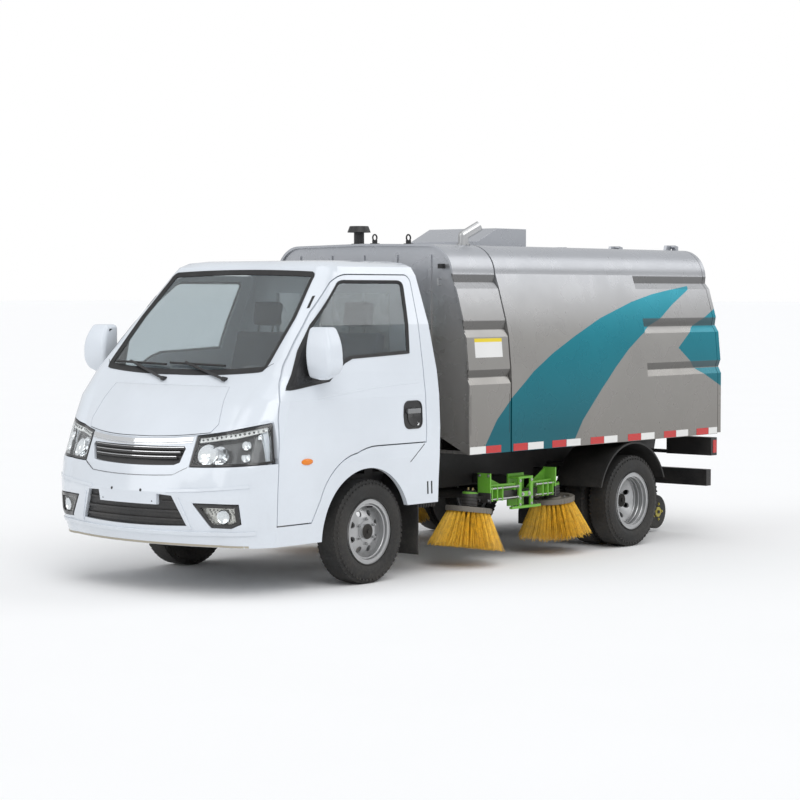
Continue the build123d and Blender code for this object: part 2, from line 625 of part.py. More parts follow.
def build_front(shell, skin):
    """Splits the nose skin into bumper, grille, lamps and bonnet."""
    nose = block((-FAR, FAR), (NOSE_Y - 50, DOOR_SEAM_Y), (200, 1240))
    front_skin = skin & nose
    y = (NOSE_Y - 50, DOOR_SEAM_Y)
    lamp_cuts = both_sides(along_y(LAMP_OUTLINE, y))
    grille_cut = along_y(GRILLE_OUTLINE, y)
    bonnet_cut = along_y(BONNET_OUTLINE, y)
    bumper_cut = along_y(BUMPER_TOP, y)
    fog_cuts = both_sides(along_y(FOG_OUTLINE, y))
    intake_cut = along_y(INTAKE_OUTLINE, y)
    zones = [front_skin & tool for tool in (*lamp_cuts, grille_cut, bonnet_cut, bumper_cut)]
    shell = cut(shell, *zones)
    add("cab_shell", solids_of(shell)[0])

    bumper = cut(front_skin & bumper_cut, *fog_cuts, intake_cut)
    add("front_bumper", solids_of(bumper)[0])
    lamp_layer = cut(cab_form(2), cab_form(CAB_WALL)) & nose
    lamps = [solids_of(lamp_layer & tool)[0] for tool in (*lamp_cuts, *fog_cuts)]
    add("front_lamps", *lamps)
    grille_layer = cut(cab_form(4), cab_form(CAB_WALL)) & nose
    opening_cut = along_y(GRILLE_OPENING, y)
    add("grille", solids_of(cut(grille_layer & grille_cut, opening_cut))[0])
    back_layer = cut(cab_form(20), cab_form(CAB_WALL)) & nose
    add("grille_inserts", *[solids_of(back_layer & tool)[0] for tool in (opening_cut, intake_cut)])
    rise = BONNET_GAP - BONNET_HINGE_GAP
    raised = [(p[0], p[1] + rise, *p[2:]) if p[1] == BONNET_TOP_Z else p for p in BONNET_OUTLINE]
    lid_cut = along_y(inset_outline(raised, BONNET_GAP), y)
    lid = solids_of((cut(cab_form(0), cab_form(LID_WALL)) & nose) & lid_cut)[0]
    add("bonnet", lid)


# ---------------------------------------------------------------- inside the cab
def build_cabin():
    """Seats, dashboard and steering wheel."""
    floor = FLOOR_Z + FLOOR_WALL
    for side in (1, -1):
        x = (side * 385 - 235, side * 385 + 235)
        base = block(x, (FRONT_AXLE_Y - 300, FRONT_AXLE_Y + 260), (floor, floor + 120))
        cushion = block(x, (FRONT_AXLE_Y - 310, FRONT_AXLE_Y + 200), (floor + 120, floor + 250))
        back = along_x(from_axle([(180, floor + 200), (330, floor + 200), (430, floor + 740),
                                  (340, floor + 760)]), x)
        rest = along_x(from_axle([(350, floor + 755), (425, floor + 735), (450, floor + 930),
                                  (370, floor + 940)]), (side * 385 - 120, side * 385 + 120))
        add("seats", join(base, cushion, back, rest))
    dash = along_x(from_axle([(-700, 1215), (-560, 1225), (-500, 1150), (-560, 940), (-760, 900), (-860, 960),
                              (-830, 1090), (-770, 1200)]), (-740, 740))
    dash = dash & cab_form(CAB_WALL + SEAT_GAP)
    ahead = along_x(from_axle([(-1100, 400), (-1100, 1262), (-750 + SEAT_GAP, 1262), (-855 + SEAT_GAP, 950),
                               (-855 + SEAT_GAP, 400)]), (-FAR, FAR))
    dash = solids_of(cut(dash, ahead))[0]
    add("dashboard", dash)
    hub = Vector(385, FRONT_AXLE_Y - 380, 1205)
    lean = Vector(0, 0.5, 0.86).normalized()
    wheel_plane = Plane(origin=hub, z_dir=lean)
    wheel = Solid.make_torus(185, 14, wheel_plane)
    spokes = [Solid.make_cylinder(12, 184, Plane(origin=hub, z_dir=Vector(*d)))
              for d in ((1, 0, 0), (-1, 0, 0), tuple(-1 * Vector(0, 0.86, -0.5)))]
    boss = Solid.make_cylinder(45, 50, Plane(origin=hub - lean * 30, z_dir=lean))
    column = cut(rod(tuple(hub - lean * 25), tuple(hub - lean * 330), 26), dash)
    add("steering_wheel", join(wheel, *spokes, boss, solids_of(column)[0]))


def build_wipers():
    """Two arms with their blades, parked along the bottom of the windscreen."""
    skin = cab_form(-SEAT_GAP)
    for pivot_x, pivot_z in ((-70, 1232), (415, 1238)):
        y = surface_y(pivot_x, pivot_z)
        tip = (pivot_x - 390, surface_y(pivot_x - 390, 1330) - 16, 1330)
        spindle = rod((pivot_x, y + 12, pivot_z), (pivot_x, y - 26, pivot_z + 6), 13)
        arm = rod((pivot_x, y - 20, pivot_z + 4), tip, 8)
        blade = rod((tip[0] - 130, surface_y(tip[0] - 130, 1326) - 14, 1326),
                    (tip[0] + 330, surface_y(tip[0] + 330, 1316) - 14, 1316), 7)
        add("wipers", solids_of(cut(join(spindle, arm, blade), skin))[0])


def surface_y(x, z):
    """Y of the cab's front skin at (x, z)."""
    probe = Edge.make_line((x, NOSE_Y - 200, z), (x, 0, z))
    hits = probe & cab_form(0)
    return min(v.Y for v in hits.vertices())


# ---------------------------------------------------------------- sweeper body
# half section: x, z from the bottom up; arcs as (x, z, mid x, mid z)
def body_section(inset=0):
    """Outline across the sweeper body."""
    w = BODY_HALF_W
    top = BODY_TOP_Z - inset
    right = [(w - inset, BODY_BOTTOM_Z), (w - inset, 1165), (w - 5 - inset, 1260), (w - 25 - inset, 1470),
             (w - 47 - inset, 1570), (w - 105 - inset, 1770), (w - 137 - inset, 1864),
             (w - 332 - inset, top - 10, w - 188 - inset * 0.9, BODY_TOP_Z - 74 - inset * 0.8), (0, top)]
    left = [(-p[0], p[1]) for p in right[:-2]]
    left.reverse()
    arc = right[-2]
    left_arc = (-right[-3][0], right[-3][1], -arc[2], arc[3])
    return right + [(-arc[0], arc[1]), left_arc] + left[1:]


# groove: upper edge, floor and lower edge z, and x inset of each edge from the widest
GROOVES = ((1862, 1812, 1768, 136, 119, 104), (1570, 1512, 1462, 47, 34, 24), (1262, 1212, 1165, 5, 2, 0))


def groove_cuts(y):
    """Cuts of the pressed grooves on both sides over a range of y."""
    tools = []
    for high, floor, low, high_in, floor_in, low_in in GROOVES:
        w = BODY_HALF_W
        shape = along_y([(w - high_in, high), (w - floor_in - GROOVE_DEPTH, floor), (w - low_in, low),
                         (w + 60, low), (w + 60, high)], y)
        tools += both_sides(shape)
    return tools


def build_housing():
    """Housing behind the cab, with the engine that drives the fan."""
    y = (HOUSING_FRONT_Y, HOUSING_FRONT_Y + HOUSING_LENGTH)
    outer = along_y(body_section(), y)
    room = along_y(body_section(BODY_WALL), (y[0] + BODY_WALL, y[1] - BODY_WALL))
    recess = along_y(body_section(14), (y[0] - 5, y[0] + 14)) & block((-FAR, FAR), (y[0] - 5, y[0] + 14),
                                                                      (BODY_BOTTOM_Z - 5, BODY_TOP_Z))
    below = block((-FAR, FAR), (y[0] + BODY_WALL, y[1] - BODY_WALL), (BODY_BOTTOM_Z - 5, BODY_BOTTOM_Z + 20))
    floor_room = cut(room, below)
    shell = cut(outer, floor_room, recess, *groove_cuts(y))
    under = along_y([(-860, BODY_BOTTOM_Z - 5), (-860, BODY_BOTTOM_Z), (-600, 850), (600, 850),
                     (860, BODY_BOTTOM_Z), (860, BODY_BOTTOM_Z - 5)], (y[0] - 5, y[0] + BODY_WALL + 2))
    shell = cut(shell, under)
    ribs = [block((x - 14, x + 14), (y[0] + 4, y[0] + 16), (860, 1985)) for x in (-560, -280, 0, 280, 560)]
    add("power_housing", solids_of(join(shell, *ribs))[0])
    floor = BODY_BOTTOM_Z + 20 + SEAT_GAP
    engine = block((-330, 260), (y[0] + 70, y[1] - 60), (floor, floor + 480))
    fan = rod((440, y[0] + 90, floor + 330), (440, y[1] - 80, floor + 330), 270)
    fan_foot = block((300, 600), (y[0] + 90, y[1] - 80), (floor, floor + 120))
    coupling = rod((200, (y[0] + y[1]) / 2, floor + 300), (330, (y[0] + y[1]) / 2, floor + 300), 60)
    add("aux_engine", join(engine, fan, fan_foot, coupling))


def roof_z(x):
    """Height of the body's roof at x."""
    return BODY_TOP_Z - 10 * abs(x) / (BODY_HALF_W - 332)


EXHAUST_X = 545
EXHAUST_IN = 55         # centre, in from the housing's rear edge
EXHAUST_R = 33
EXHAUST_WALL = 4
EXHAUST_RISE = 60       # height of the bend over the roof
EXHAUST_COLLAR_R = 45
INTAKE_X = -213
INTAKE_NECK_R = 34
INTAKE_CAP_R = (78, 62)
INTAKE_CAP_HEIGHT = 42


def build_roof_fittings():
    """Exhaust and air intake on the roof of the housing."""
    x, y = EXHAUST_X, HOUSING_FRONT_Y + HOUSING_LENGTH - EXHAUST_IN
    z = roof_z(x) + SEAT_GAP
    top = (x, y, z + EXHAUST_RISE)
    base = Solid.make_cylinder(EXHAUST_COLLAR_R, 40, Plane(origin=(x, y, z - 30)))
    bend = Solid.make_sphere(EXHAUST_R, Plane(origin=top))
    elbow = rod(top, (x + 60, y + 92, z + 124), EXHAUST_R)
    bore = rod(top, (x + 72, y + 110, z + 137), EXHAUST_R - EXHAUST_WALL)
    upright = rod((x, y, z), top, EXHAUST_R)
    roof = along_y(body_section(-SEAT_GAP), (HOUSING_FRONT_Y, HOUSING_FRONT_Y + HOUSING_LENGTH))
    throat = rod((x, y, z + 25), top, EXHAUST_R - EXHAUST_WALL)
    pipe = cut(join(base, upright, bend, elbow), bore, throat, roof)
    add("exhaust_pipe", solids_of(pipe)[0])
    x, y = INTAKE_X, HOUSING_FRONT_Y + 216
    z = roof_z(x) + SEAT_GAP
    neck = Solid.make_cylinder(INTAKE_NECK_R, 86, Plane(origin=(x, y, z)))
    flange = Solid.make_cylinder(INTAKE_NECK_R + 18, 16, Plane(origin=(x, y, z - 6)))
    cap = Solid.make_cone(*INTAKE_CAP_R, INTAKE_CAP_HEIGHT, Plane(origin=(x, y, z + 84)))
    add("intake_cap", solids_of(cut(join(neck, flange, cap), roof))[0])


HOOD_HALF_X = 295
HOOD_Y = (FRONT_AXLE_Y + 1720, FRONT_AXLE_Y + 2250)
HOOD_RISE = 118
HOOD_SLOPE = 205


def build_hopper():
    """Tipping dust hopper with the hood of its air outlet."""
    y = (HOPPER_FRONT_Y, HOPPER_REAR_Y)
    outer = along_y(body_section(), y)
    room = along_y(body_section(BODY_WALL), (y[0] + BODY_WALL, y[1] + 5))
    floor_top = BODY_BOTTOM_Z + BODY_WALL
    below = block((-FAR, FAR), (y[0], y[1] + 10), (BODY_BOTTOM_Z - 5, floor_top))
    shell = cut(outer, cut(room, below), *groove_cuts((y[1] - HOPPER_GROOVE_LENGTH, y[1] + 10)))
    inlet = rod((0, INLET_Y, BODY_BOTTOM_Z - 10), (0, INLET_Y, floor_top + 10), INLET_R)
    shell = cut(shell, inlet)
    eye = along_x([(TIP_Y - 60, BODY_BOTTOM_Z + 2), (TIP_Y - TIP_EYE_R, TIP_Z),
                   (TIP_Y + TIP_EYE_R, TIP_Z, TIP_Y, TIP_Z - TIP_EYE_R), (y[1] - 5, BODY_BOTTOM_Z + 2)],
                  (TIP_EYE_X, TIP_EYE_X + TIP_EYE_WIDTH))
    pin = rod((RAIL_X - RAIL_WIDTH / 2 + 2, TIP_Y, TIP_Z), (TIP_EYE_X + 5, TIP_Y, TIP_Z), TIP_PIN_R)
    lugs = []
    py, pz = TIP_ROD_PIN
    for x in (TIP_CYLINDER_X - 38, TIP_CYLINDER_X + 24):
        lug = along_x([(py - 45, BODY_BOTTOM_Z + 2), (py - 24, pz), (py + 24, pz, py, pz - 24),
                       (py + 45, BODY_BOTTOM_Z + 2)], (x, x + 14))
        lugs.append(cut(lug, rod((0, py, pz), (FAR, py, pz), 14)))
    extras = [*both_sides(join(eye, pin))]
    for lug in lugs:
        extras += both_sides(lug)
    hinge_ears = []
    for x in (-520, -30, 460):
        ear = along_x([(y[1] - 70, BODY_TOP_Z - 20), (y[1] - 55, TAILGATE_PIN_Z + 12),
                       (y[1] + 8, TAILGATE_PIN_Z + 12), (y[1] + 8, TAILGATE_PIN_Z - 12),
                       (y[1], BODY_TOP_Z + 2), (y[1] - 4, BODY_TOP_Z - 20)], (x, x + 24))
        hinge_ears.append(cut(ear, rod((x - 5, TAILGATE_PIN_Y, TAILGATE_PIN_Z),
                                       (x + 29, TAILGATE_PIN_Y, TAILGATE_PIN_Z), 6 + PIN_GAP)))
    extras += hinge_ears
    shell = join(shell, *extras)
    add("hopper_shell", solids_of(shell)[0])

    top = BODY_TOP_Z + HOOD_RISE
    base = BODY_TOP_Z - 20
    hood = along_x([(HOOD_Y[0], base), (HOOD_Y[0], BODY_TOP_Z + 28), (HOOD_Y[0] + HOOD_SLOPE, top),
                    (HOOD_Y[1], top), (HOOD_Y[1], base)], (-HOOD_HALF_X, HOOD_HALF_X))
    roof = along_y(body_section(-SEAT_GAP), (HOOD_Y[0] - 50, HOOD_Y[1] + 50))
    hollow = along_x([(HOOD_Y[0] + 12, base), (HOOD_Y[0] + 12, BODY_TOP_Z + 22),
                      (HOOD_Y[0] + HOOD_SLOPE + 4, top - 12), (HOOD_Y[1] + 5, top - 12),
                      (HOOD_Y[1] + 5, base)],
                     (-HOOD_HALF_X + 12, HOOD_HALF_X - 12))
    louvres = [block((-HOOD_HALF_X + 6, HOOD_HALF_X - 6), (HOOD_Y[1] - 30, HOOD_Y[1] - 6),
                     (top - 30 - i * 26, top - 22 - i * 26)) for i in range(4)]
    add("fan_hood", solids_of(join(cut(hood, roof, hollow), *[cut(b, roof) for b in louvres]))[0])


TAILGATE_PIN_Z = BODY_TOP_Z + 16
TAILGATE_PIN_Y = HOPPER_REAR_Y - 1


def build_tailgate():
    """Rear door of the hopper, hung from its top edge."""
    y = (HOPPER_REAR_Y + TAILGATE_GAP, TAIL_Y)
    panel = along_y(body_section(), y)
    panel = cut(panel, *groove_cuts((y[0] - 5, y[1] + 5)))
    panel = cut(panel, block((-FAR, FAR), (y[0] - 5, y[1] + 5), (0, BODY_BOTTOM_Z + 8)))
    straps = []
    for x in (-494, -4, 486):
        strap = along_x([(TAILGATE_PIN_Y - 12, TAILGATE_PIN_Z), (TAILGATE_PIN_Y + 6, TAILGATE_PIN_Z + 11,
                                                                 TAILGATE_PIN_Y - 6, TAILGATE_PIN_Z + 11),
                         (y[1] - 4, TAILGATE_PIN_Z + 4), (y[1] - 4, BODY_TOP_Z - 60),
                         (y[0] + 2, BODY_TOP_Z - 60),
                         (y[0] + 2, TAILGATE_PIN_Z - 11), (TAILGATE_PIN_Y, TAILGATE_PIN_Z - 12)],
                        (x, x + 34))
        straps.append(strap)
        pin_y, pin_z = TAILGATE_PIN_Y, TAILGATE_PIN_Z
        straps.append(rod((x - 24, pin_y, pin_z), (x + 5, pin_y, pin_z), 6))
    add("tailgate", solids_of(join(panel, *straps))[0])


# ---------------------------------------------------------------- tip cylinders
def build_tip_cylinders():
    """Barrels on the frame and rods on the hopper."""
    by, bz = TIP_BARREL_PIN
    ry, rz = TIP_ROD_PIN
    length = hypot(ry - by, rz - bz)
    uy, uz = (ry - by) / length, (rz - bz) / length

    def at(d):
        return (TIP_CYLINDER_X, by + d * uy, bz + d * uz)

    eye = ring((TIP_CYLINDER_X - 22, by, bz), (TIP_CYLINDER_X + 22, by, bz), 40, 25 + PIN_GAP)
    body = rod(at(36), at(length - 90), TIP_BARREL_R)
    bore = rod(at(120), at(length - 60), TIP_ROD_R + PIN_GAP)
    barrel_solid = cut(join(eye, body), bore, rod((0, by, bz), (FAR, by, bz), 25 + PIN_GAP))
    add("tip_cylinder_barrels", *both_sides(barrel_solid))
    shaft = rod(at(122), at(length - 16), TIP_ROD_R)
    head = rod((TIP_CYLINDER_X - 18, ry, rz), (TIP_CYLINDER_X + 18, ry, rz), 24)
    hole = rod((TIP_CYLINDER_X - 30, ry, rz), (TIP_CYLINDER_X + 30, ry, rz), 14)
    add("tip_cylinder_rods", *both_sides(cut(join(shaft, head), hole)))


# ---------------------------------------------------------------- suction
NOZZLE_BOTTOM_Z = 28
NOZZLE_TOP_Z = 210
NOZZLE_Y = (1930, 2180)
NOZZLE_HALF_X = 500
CASTER_X = 450
CASTER_Y = FRONT_AXLE_Y + 3600
CASTER_R = 122
CASTER_Z = 147


def build_suction():
    """Nozzle with its casters and the pipe up to the hopper."""
    ny = NOZZLE_Y
    box = along_x([(ny[0], NOZZLE_BOTTOM_Z), (ny[0], 120), (INLET_Y - 110, NOZZLE_TOP_Z),
                   (INLET_Y + 110, NOZZLE_TOP_Z), (ny[1], 120), (ny[1], NOZZLE_BOTTOM_Z)],
                  (-NOZZLE_HALF_X, NOZZLE_HALF_X))
    room = along_x([(ny[0] + 8, 0), (ny[0] + 8, 116), (INLET_Y - 106, NOZZLE_TOP_Z - 8),
                    (INLET_Y + 106, NOZZLE_TOP_Z - 8), (ny[1] - 8, 116), (ny[1] - 8, 0)],
                   (-NOZZLE_HALF_X + 8, NOZZLE_HALF_X - 8))
    neck = rod((0, INLET_Y, NOZZLE_TOP_Z - 12), (0, INLET_Y, 335), 92)
    neck_bore = rod((0, INLET_Y, 100), (0, INLET_Y, 400), 84)
    shell = cut(join(box, neck), room, neck_bore)
    py, pz = NOZZLE_PIVOT
    parts = [shell]
    for s in (1, -1):
        x = s * 385
        boss = ring((x - 15, py, pz), (x + 15, py, pz), 28, 14 + PIN_GAP)
        link = along_x([(py - 12, pz - 22), (py + 12, pz - 22), (ny[0] + 60, 150), (ny[0] + 5, 130)],
                       (x - 12, x + 12))
        parts += [boss, link]
        axle = rod((s * (CASTER_X - 30), CASTER_Y, CASTER_Z), (s * (CASTER_X + 50), CASTER_Y, CASTER_Z), 12)
        arm_x = s * (CASTER_X - 38)
        arm = along_x([(ny[1] - 12, 60), (ny[1] - 12, 116), (CASTER_Y + 16, CASTER_Z + 16),
                       (CASTER_Y + 16, CASTER_Z - 16)], (arm_x - 8, arm_x + 8))
        parts += [arm, axle]
    add("suction_nozzle", solids_of(join(*parts))[0])
    for s in (1, -1):
        low, high = sorted((s * (CASTER_X - 24), s * (CASTER_X + 32)))
        tyre = turned([(0, 12 + PIN_GAP), (0, CASTER_R - 12), (8, CASTER_R), (high - low - 8, CASTER_R),
                       (high - low, CASTER_R - 12), (high - low, 12 + PIN_GAP)], low, CASTER_Y, CASTER_Z)
        add("nozzle_wheels", tyre)
    top = BODY_BOTTOM_Z - SEAT_GAP
    pipe = ring((0, INLET_Y, 312), (0, INLET_Y, top), 132, INLET_R)
    stays = [block((s * 210 - 95, s * 210 + 95), (INLET_Y - 20, INLET_Y + 20), (540, 560)) for s in (1, -1)]
    stays = [cut(b, rod((0, INLET_Y, 0), (0, INLET_Y, FAR), INLET_R)) for b in stays]
    half = RAIL_WIDTH / 2
    rails = [block((s * RAIL_X - half, s * RAIL_X + half), (NOSE_Y, TAIL_Y), (RAIL_BOTTOM_Z, RAIL_TOP_Z))
             for s in (1, -1)]
    add("suction_pipe", solids_of(cut(join(pipe, *stays), *rails))[0])


# ---------------------------------------------------------------- brushes
BRUSH_X = 700
ARM_PIN_Z = 432
ARM_PIN_R = 10
BRUSH_PLATE_R = 148
BRUSH_PLATE_WALL = 34
BRUSH_TIP_R = 265
BRUSH_LENGTH = 238
# arm: name, y of its pin, y of the brush axis, z of the plate's underside, tilt in degrees
BRUSH_ARMS = (
    ("front", FRONT_AXLE_Y + 1570, FRONT_AXLE_Y + 1105, 342, 8.0),
    ("rear", FRONT_AXLE_Y + 1640, FRONT_AXLE_Y + 2012, 348, -6.0),
)


def brush(y, z, tilt):
    """Plate with a hollow cone of bristles, on an axis tilted about X."""
    plane = Plane(origin=(BRUSH_X, y, z), z_dir=(0, sin(radians(tilt)), cos(radians(tilt))))
    plate = Solid.make_cylinder(BRUSH_PLATE_R, BRUSH_PLATE_WALL, plane)
    down = Plane(origin=plane.origin, z_dir=-plane.z_dir)
    cone = Solid.make_cone(BRUSH_PLATE_R - 4, BRUSH_TIP_R, BRUSH_LENGTH, down)
    deep = Plane(origin=plane.origin - plane.z_dir * 1, z_dir=-plane.z_dir)
    inner = Solid.make_cone(BRUSH_PLATE_R - 52, BRUSH_TIP_R - 48, BRUSH_LENGTH, deep)
    under = Plane(origin=plane.origin - plane.z_dir * 5, z_dir=plane.z_dir)
    stub_bore = Solid.make_cylinder(16 + PIN_GAP, BRUSH_PLATE_WALL + 10, under)
    return cut(join(plate, cut(cone, inner)), stub_bore), plane


def build_brushes():
    """Four side brushes, their arms and the brackets that carry them."""
    z = ARM_PIN_Z
    mid = BRUSH_BRACKET_Y
    inner_plate = block(BRUSH_BRACKET_X, (mid - 85, mid + 85), (350, 562))
    legs = [block((772, 784), (mid + s * 62 - 14, mid + s * 62 + 14), (340, 545)) for s in (-1, 1)]
    bar = block((772, 784), (mid - 62, mid + 62), (z - 16, z + 16))
    foot = block((766, 790), (mid - 155, mid + 155), (340, 356))
    bridge = block((BRUSH_BRACKET_X[0], 784), (mid - 76, mid + 76), (533, 546))
    pins = [rod((BRUSH_BRACKET_X[0] + 2, arm[1], z), (776, arm[1], z), ARM_PIN_R) for arm in BRUSH_ARMS]
    bracket = join(inner_plate, *legs, bar, foot, bridge, *pins)
    bracket = cut(bracket, block((0, BRUSH_BRACKET_X[0] + SEAT_GAP), (mid - 60, mid + 60), (400, 580)))
    add("brush_brackets", *both_sides(bracket))
    for name, pin_y, brush_y, plate_z, tilt in BRUSH_ARMS:
        toward = 1 if brush_y > pin_y else -1
        plate_y = brush_y - toward * 108
        boss = ring((706, pin_y, z), (768, pin_y, z), 24, ARM_PIN_R + PIN_GAP)
        lo, hi = sorted((pin_y + toward * 18, plate_y))
        beam = block((720, 752), (lo, hi), (z - 30, z + 30))
        lo, hi = sorted((plate_y, plate_y + toward * 12))
        end_plate = block((700, 800), (lo, hi), (z - 35, z + 155))
        solid, plane = brush(brush_y, plate_z, tilt)
        motor_base = plane.origin + plane.z_dir * (BRUSH_PLATE_WALL + 6)
        motor = Solid.make_cylinder(52, 88, Plane(origin=motor_base, z_dir=plane.z_dir))
        stub = Solid.make_cylinder(16, 60, Plane(origin=plane.origin + plane.z_dir * 4, z_dir=plane.z_dir))
        hold = motor_base + plane.z_dir * 50
        lo, hi = sorted((plate_y + toward * 2, hold.Y))
        seat = block((BRUSH_X - 30, BRUSH_X + 40), (lo, hi), (hold.Z - 10, hold.Z + 10))
        web_points = [(plate_y, z + 150), (plate_y, z - 25), (pin_y + toward * 70, z + 28),
                      (pin_y + toward * 70, z + 40)]
        web = along_x(web_points, (706, 712))
        stay = rod((760, plate_y, z + 72), (760, pin_y + toward * 60, z + 66), 9)
        tie = block((745, 766), sorted((pin_y + toward * 56, pin_y + toward * 66)), (z + 20, z + 78))
        bore = rod((700, pin_y, z), (780, pin_y, z), ARM_PIN_R + PIN_GAP)
        web_link = block((706, 725), sorted((plate_y - toward * 30, plate_y)), (z - 20, z + 20))
        arm = cut(join(beam, boss, end_plate, seat, motor, stub, web, stay, tie, web_link), bore)
        for side, place in (("left", lambda s: s), ("right", other_side)):
            add(f"brush_arm_{name}_{side}", place(solids_of(arm)[0]))
            add(f"brush_{name}_{side}", place(solid))


# ---------------------------------------------------------------- guards, lamps and boxes
def build_guards():
    """Mudguards and mud flaps."""
    flap_y = (FRONT_AXLE_Y + 420, FRONT_AXLE_Y + 428)
    flap = block((690, 846), flap_y, (140, 444))
    hanger = block((690, 800), flap_y, (440, 500))
    fixing = block((780, CAB_HALF_W), (flap_y[0], flap_y[0] + 60), (460, 500))
    front = join(flap, hanger, fixing & cab_form(CAB_WALL + SEAT_GAP, bottom=200))
    add("mudguards", *both_sides(front))
    y, z = REAR_AXLE_Y, TYRE_R
    outer_r, wall = 400, 5
    x = (505, 886)
    band = ring((x[0], y, z), (x[1], y, z), outer_r, outer_r - wall)
    keep = along_x([(y - 600, 455), (y - 300, 420), (y, z), (y + 300, z + 140), (y + 500, z + 140),
                    (y + 500, 900), (y - 600, 900)], (0, FAR))
    arch = band & keep
    flap_y = y + 372
    flap = block(x, (flap_y + 12, flap_y + 18), (250, 478))
    lip = ring((x[1] - 30, y, z), (x[1], y, z), outer_r + 8, outer_r - 2) & keep
    brackets = [block((RAIL_X + 30 + SEAT_GAP, x[0] + 10), (y + d - 15, y + d + 15), (556, 576))
                for d in (-280, 280)]
    add("mudguards", *both_sides(solids_of(join(arch, flap, lip, *brackets))[0]))


def build_tail():
    """Underrun bar and tail lamps."""
    add("rear_underrun", block((-857, 857), (2380, 2440), (352, RAIL_BOTTOM_Z - SEAT_GAP)))
    for s in (1, -1):
        x = sorted((s * 500, s * 882))
        lamp = block(x, (2400, 2478), (571, 700))
        stay = block(sorted((s * (RAIL_X + 30) + s * SEAT_GAP, s * 505)), (2395, 2420), (575, 600))
        add("tail_lamps", join(lamp, stay))


def build_boxes():
    """Battery box on the left and fuel tank on the right, behind the front wheels."""
    y = (CAB_REAR_Y + 40, HOUSING_FRONT_Y - 30)
    inner = RAIL_X + RAIL_WIDTH / 2 + SEAT_GAP
    battery = block((inner, 640), y, (400, 600))
    tank = block((-640, -inner), y, (380, 620))
    tank = tank.fillet(30, tank.edges().filter_by(Axis.Y))
    add("side_boxes", battery, tank)


def main():
    """Builds every node and writes one file for each."""
    face, middle = build_wheels()
    build_front_axle(face)
    build_rear_axle(middle)
    build_frame()
    build_powertrain()
    shell, skin = build_cab()
    build_front(shell, skin)
    build_cabin()
    build_wipers()
    build_housing()
    build_roof_fittings()
    build_hopper()
    build_tailgate()
    build_tip_cylinders()
    build_suction()
    build_brushes()
    build_guards()
    build_tail()
    build_boxes()
    for name, solids in NODES.items():
        export_step(Compound(label=name, children=solids), f"parts/{name}.step")
        print(name, len(solids), [round(s.volume / 1e6, 3) for s in solids])


main()
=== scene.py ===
import json
import math
import bpy
import bmesh
from mathutils import Matrix, Vector
from mathutils.bvhtree import BVHTree

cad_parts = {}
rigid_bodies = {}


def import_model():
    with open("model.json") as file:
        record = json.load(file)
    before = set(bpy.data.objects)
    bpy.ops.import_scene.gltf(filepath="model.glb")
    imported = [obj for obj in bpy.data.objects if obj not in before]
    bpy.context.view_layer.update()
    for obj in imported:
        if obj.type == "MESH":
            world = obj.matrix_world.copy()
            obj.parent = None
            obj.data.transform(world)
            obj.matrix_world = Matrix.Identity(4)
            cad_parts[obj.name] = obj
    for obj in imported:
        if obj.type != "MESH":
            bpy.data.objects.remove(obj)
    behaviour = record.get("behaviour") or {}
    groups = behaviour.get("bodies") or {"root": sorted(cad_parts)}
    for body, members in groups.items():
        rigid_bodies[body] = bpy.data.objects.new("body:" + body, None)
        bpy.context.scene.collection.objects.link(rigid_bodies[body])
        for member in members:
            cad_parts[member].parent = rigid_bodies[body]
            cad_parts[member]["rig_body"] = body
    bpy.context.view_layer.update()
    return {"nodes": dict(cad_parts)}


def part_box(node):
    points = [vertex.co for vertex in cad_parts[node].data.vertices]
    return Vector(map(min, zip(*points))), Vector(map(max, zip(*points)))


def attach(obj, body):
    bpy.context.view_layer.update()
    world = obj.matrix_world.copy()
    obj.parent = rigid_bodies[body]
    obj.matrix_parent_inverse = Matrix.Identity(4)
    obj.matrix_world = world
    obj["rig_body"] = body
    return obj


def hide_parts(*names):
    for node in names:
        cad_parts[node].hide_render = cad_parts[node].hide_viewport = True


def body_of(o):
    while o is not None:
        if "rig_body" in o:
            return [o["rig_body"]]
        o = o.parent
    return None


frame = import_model()
NODES = frame["nodes"]
FRONT_AXLE_Y = -1.290
REAR_AXLE_Y = 1.410
WHEEL_Z = 0.313
MIRROR_HEAD_X = 0.8478
CHASSIS = "chassis"
SIDES = (("left", 1), ("right", -1))
VECTOR, FLOAT, COLOR, INTEGER, MATERIAL = ("NodeSocket" + kind for kind in (
    "Vector", "Float", "Color", "Int", "Material"))


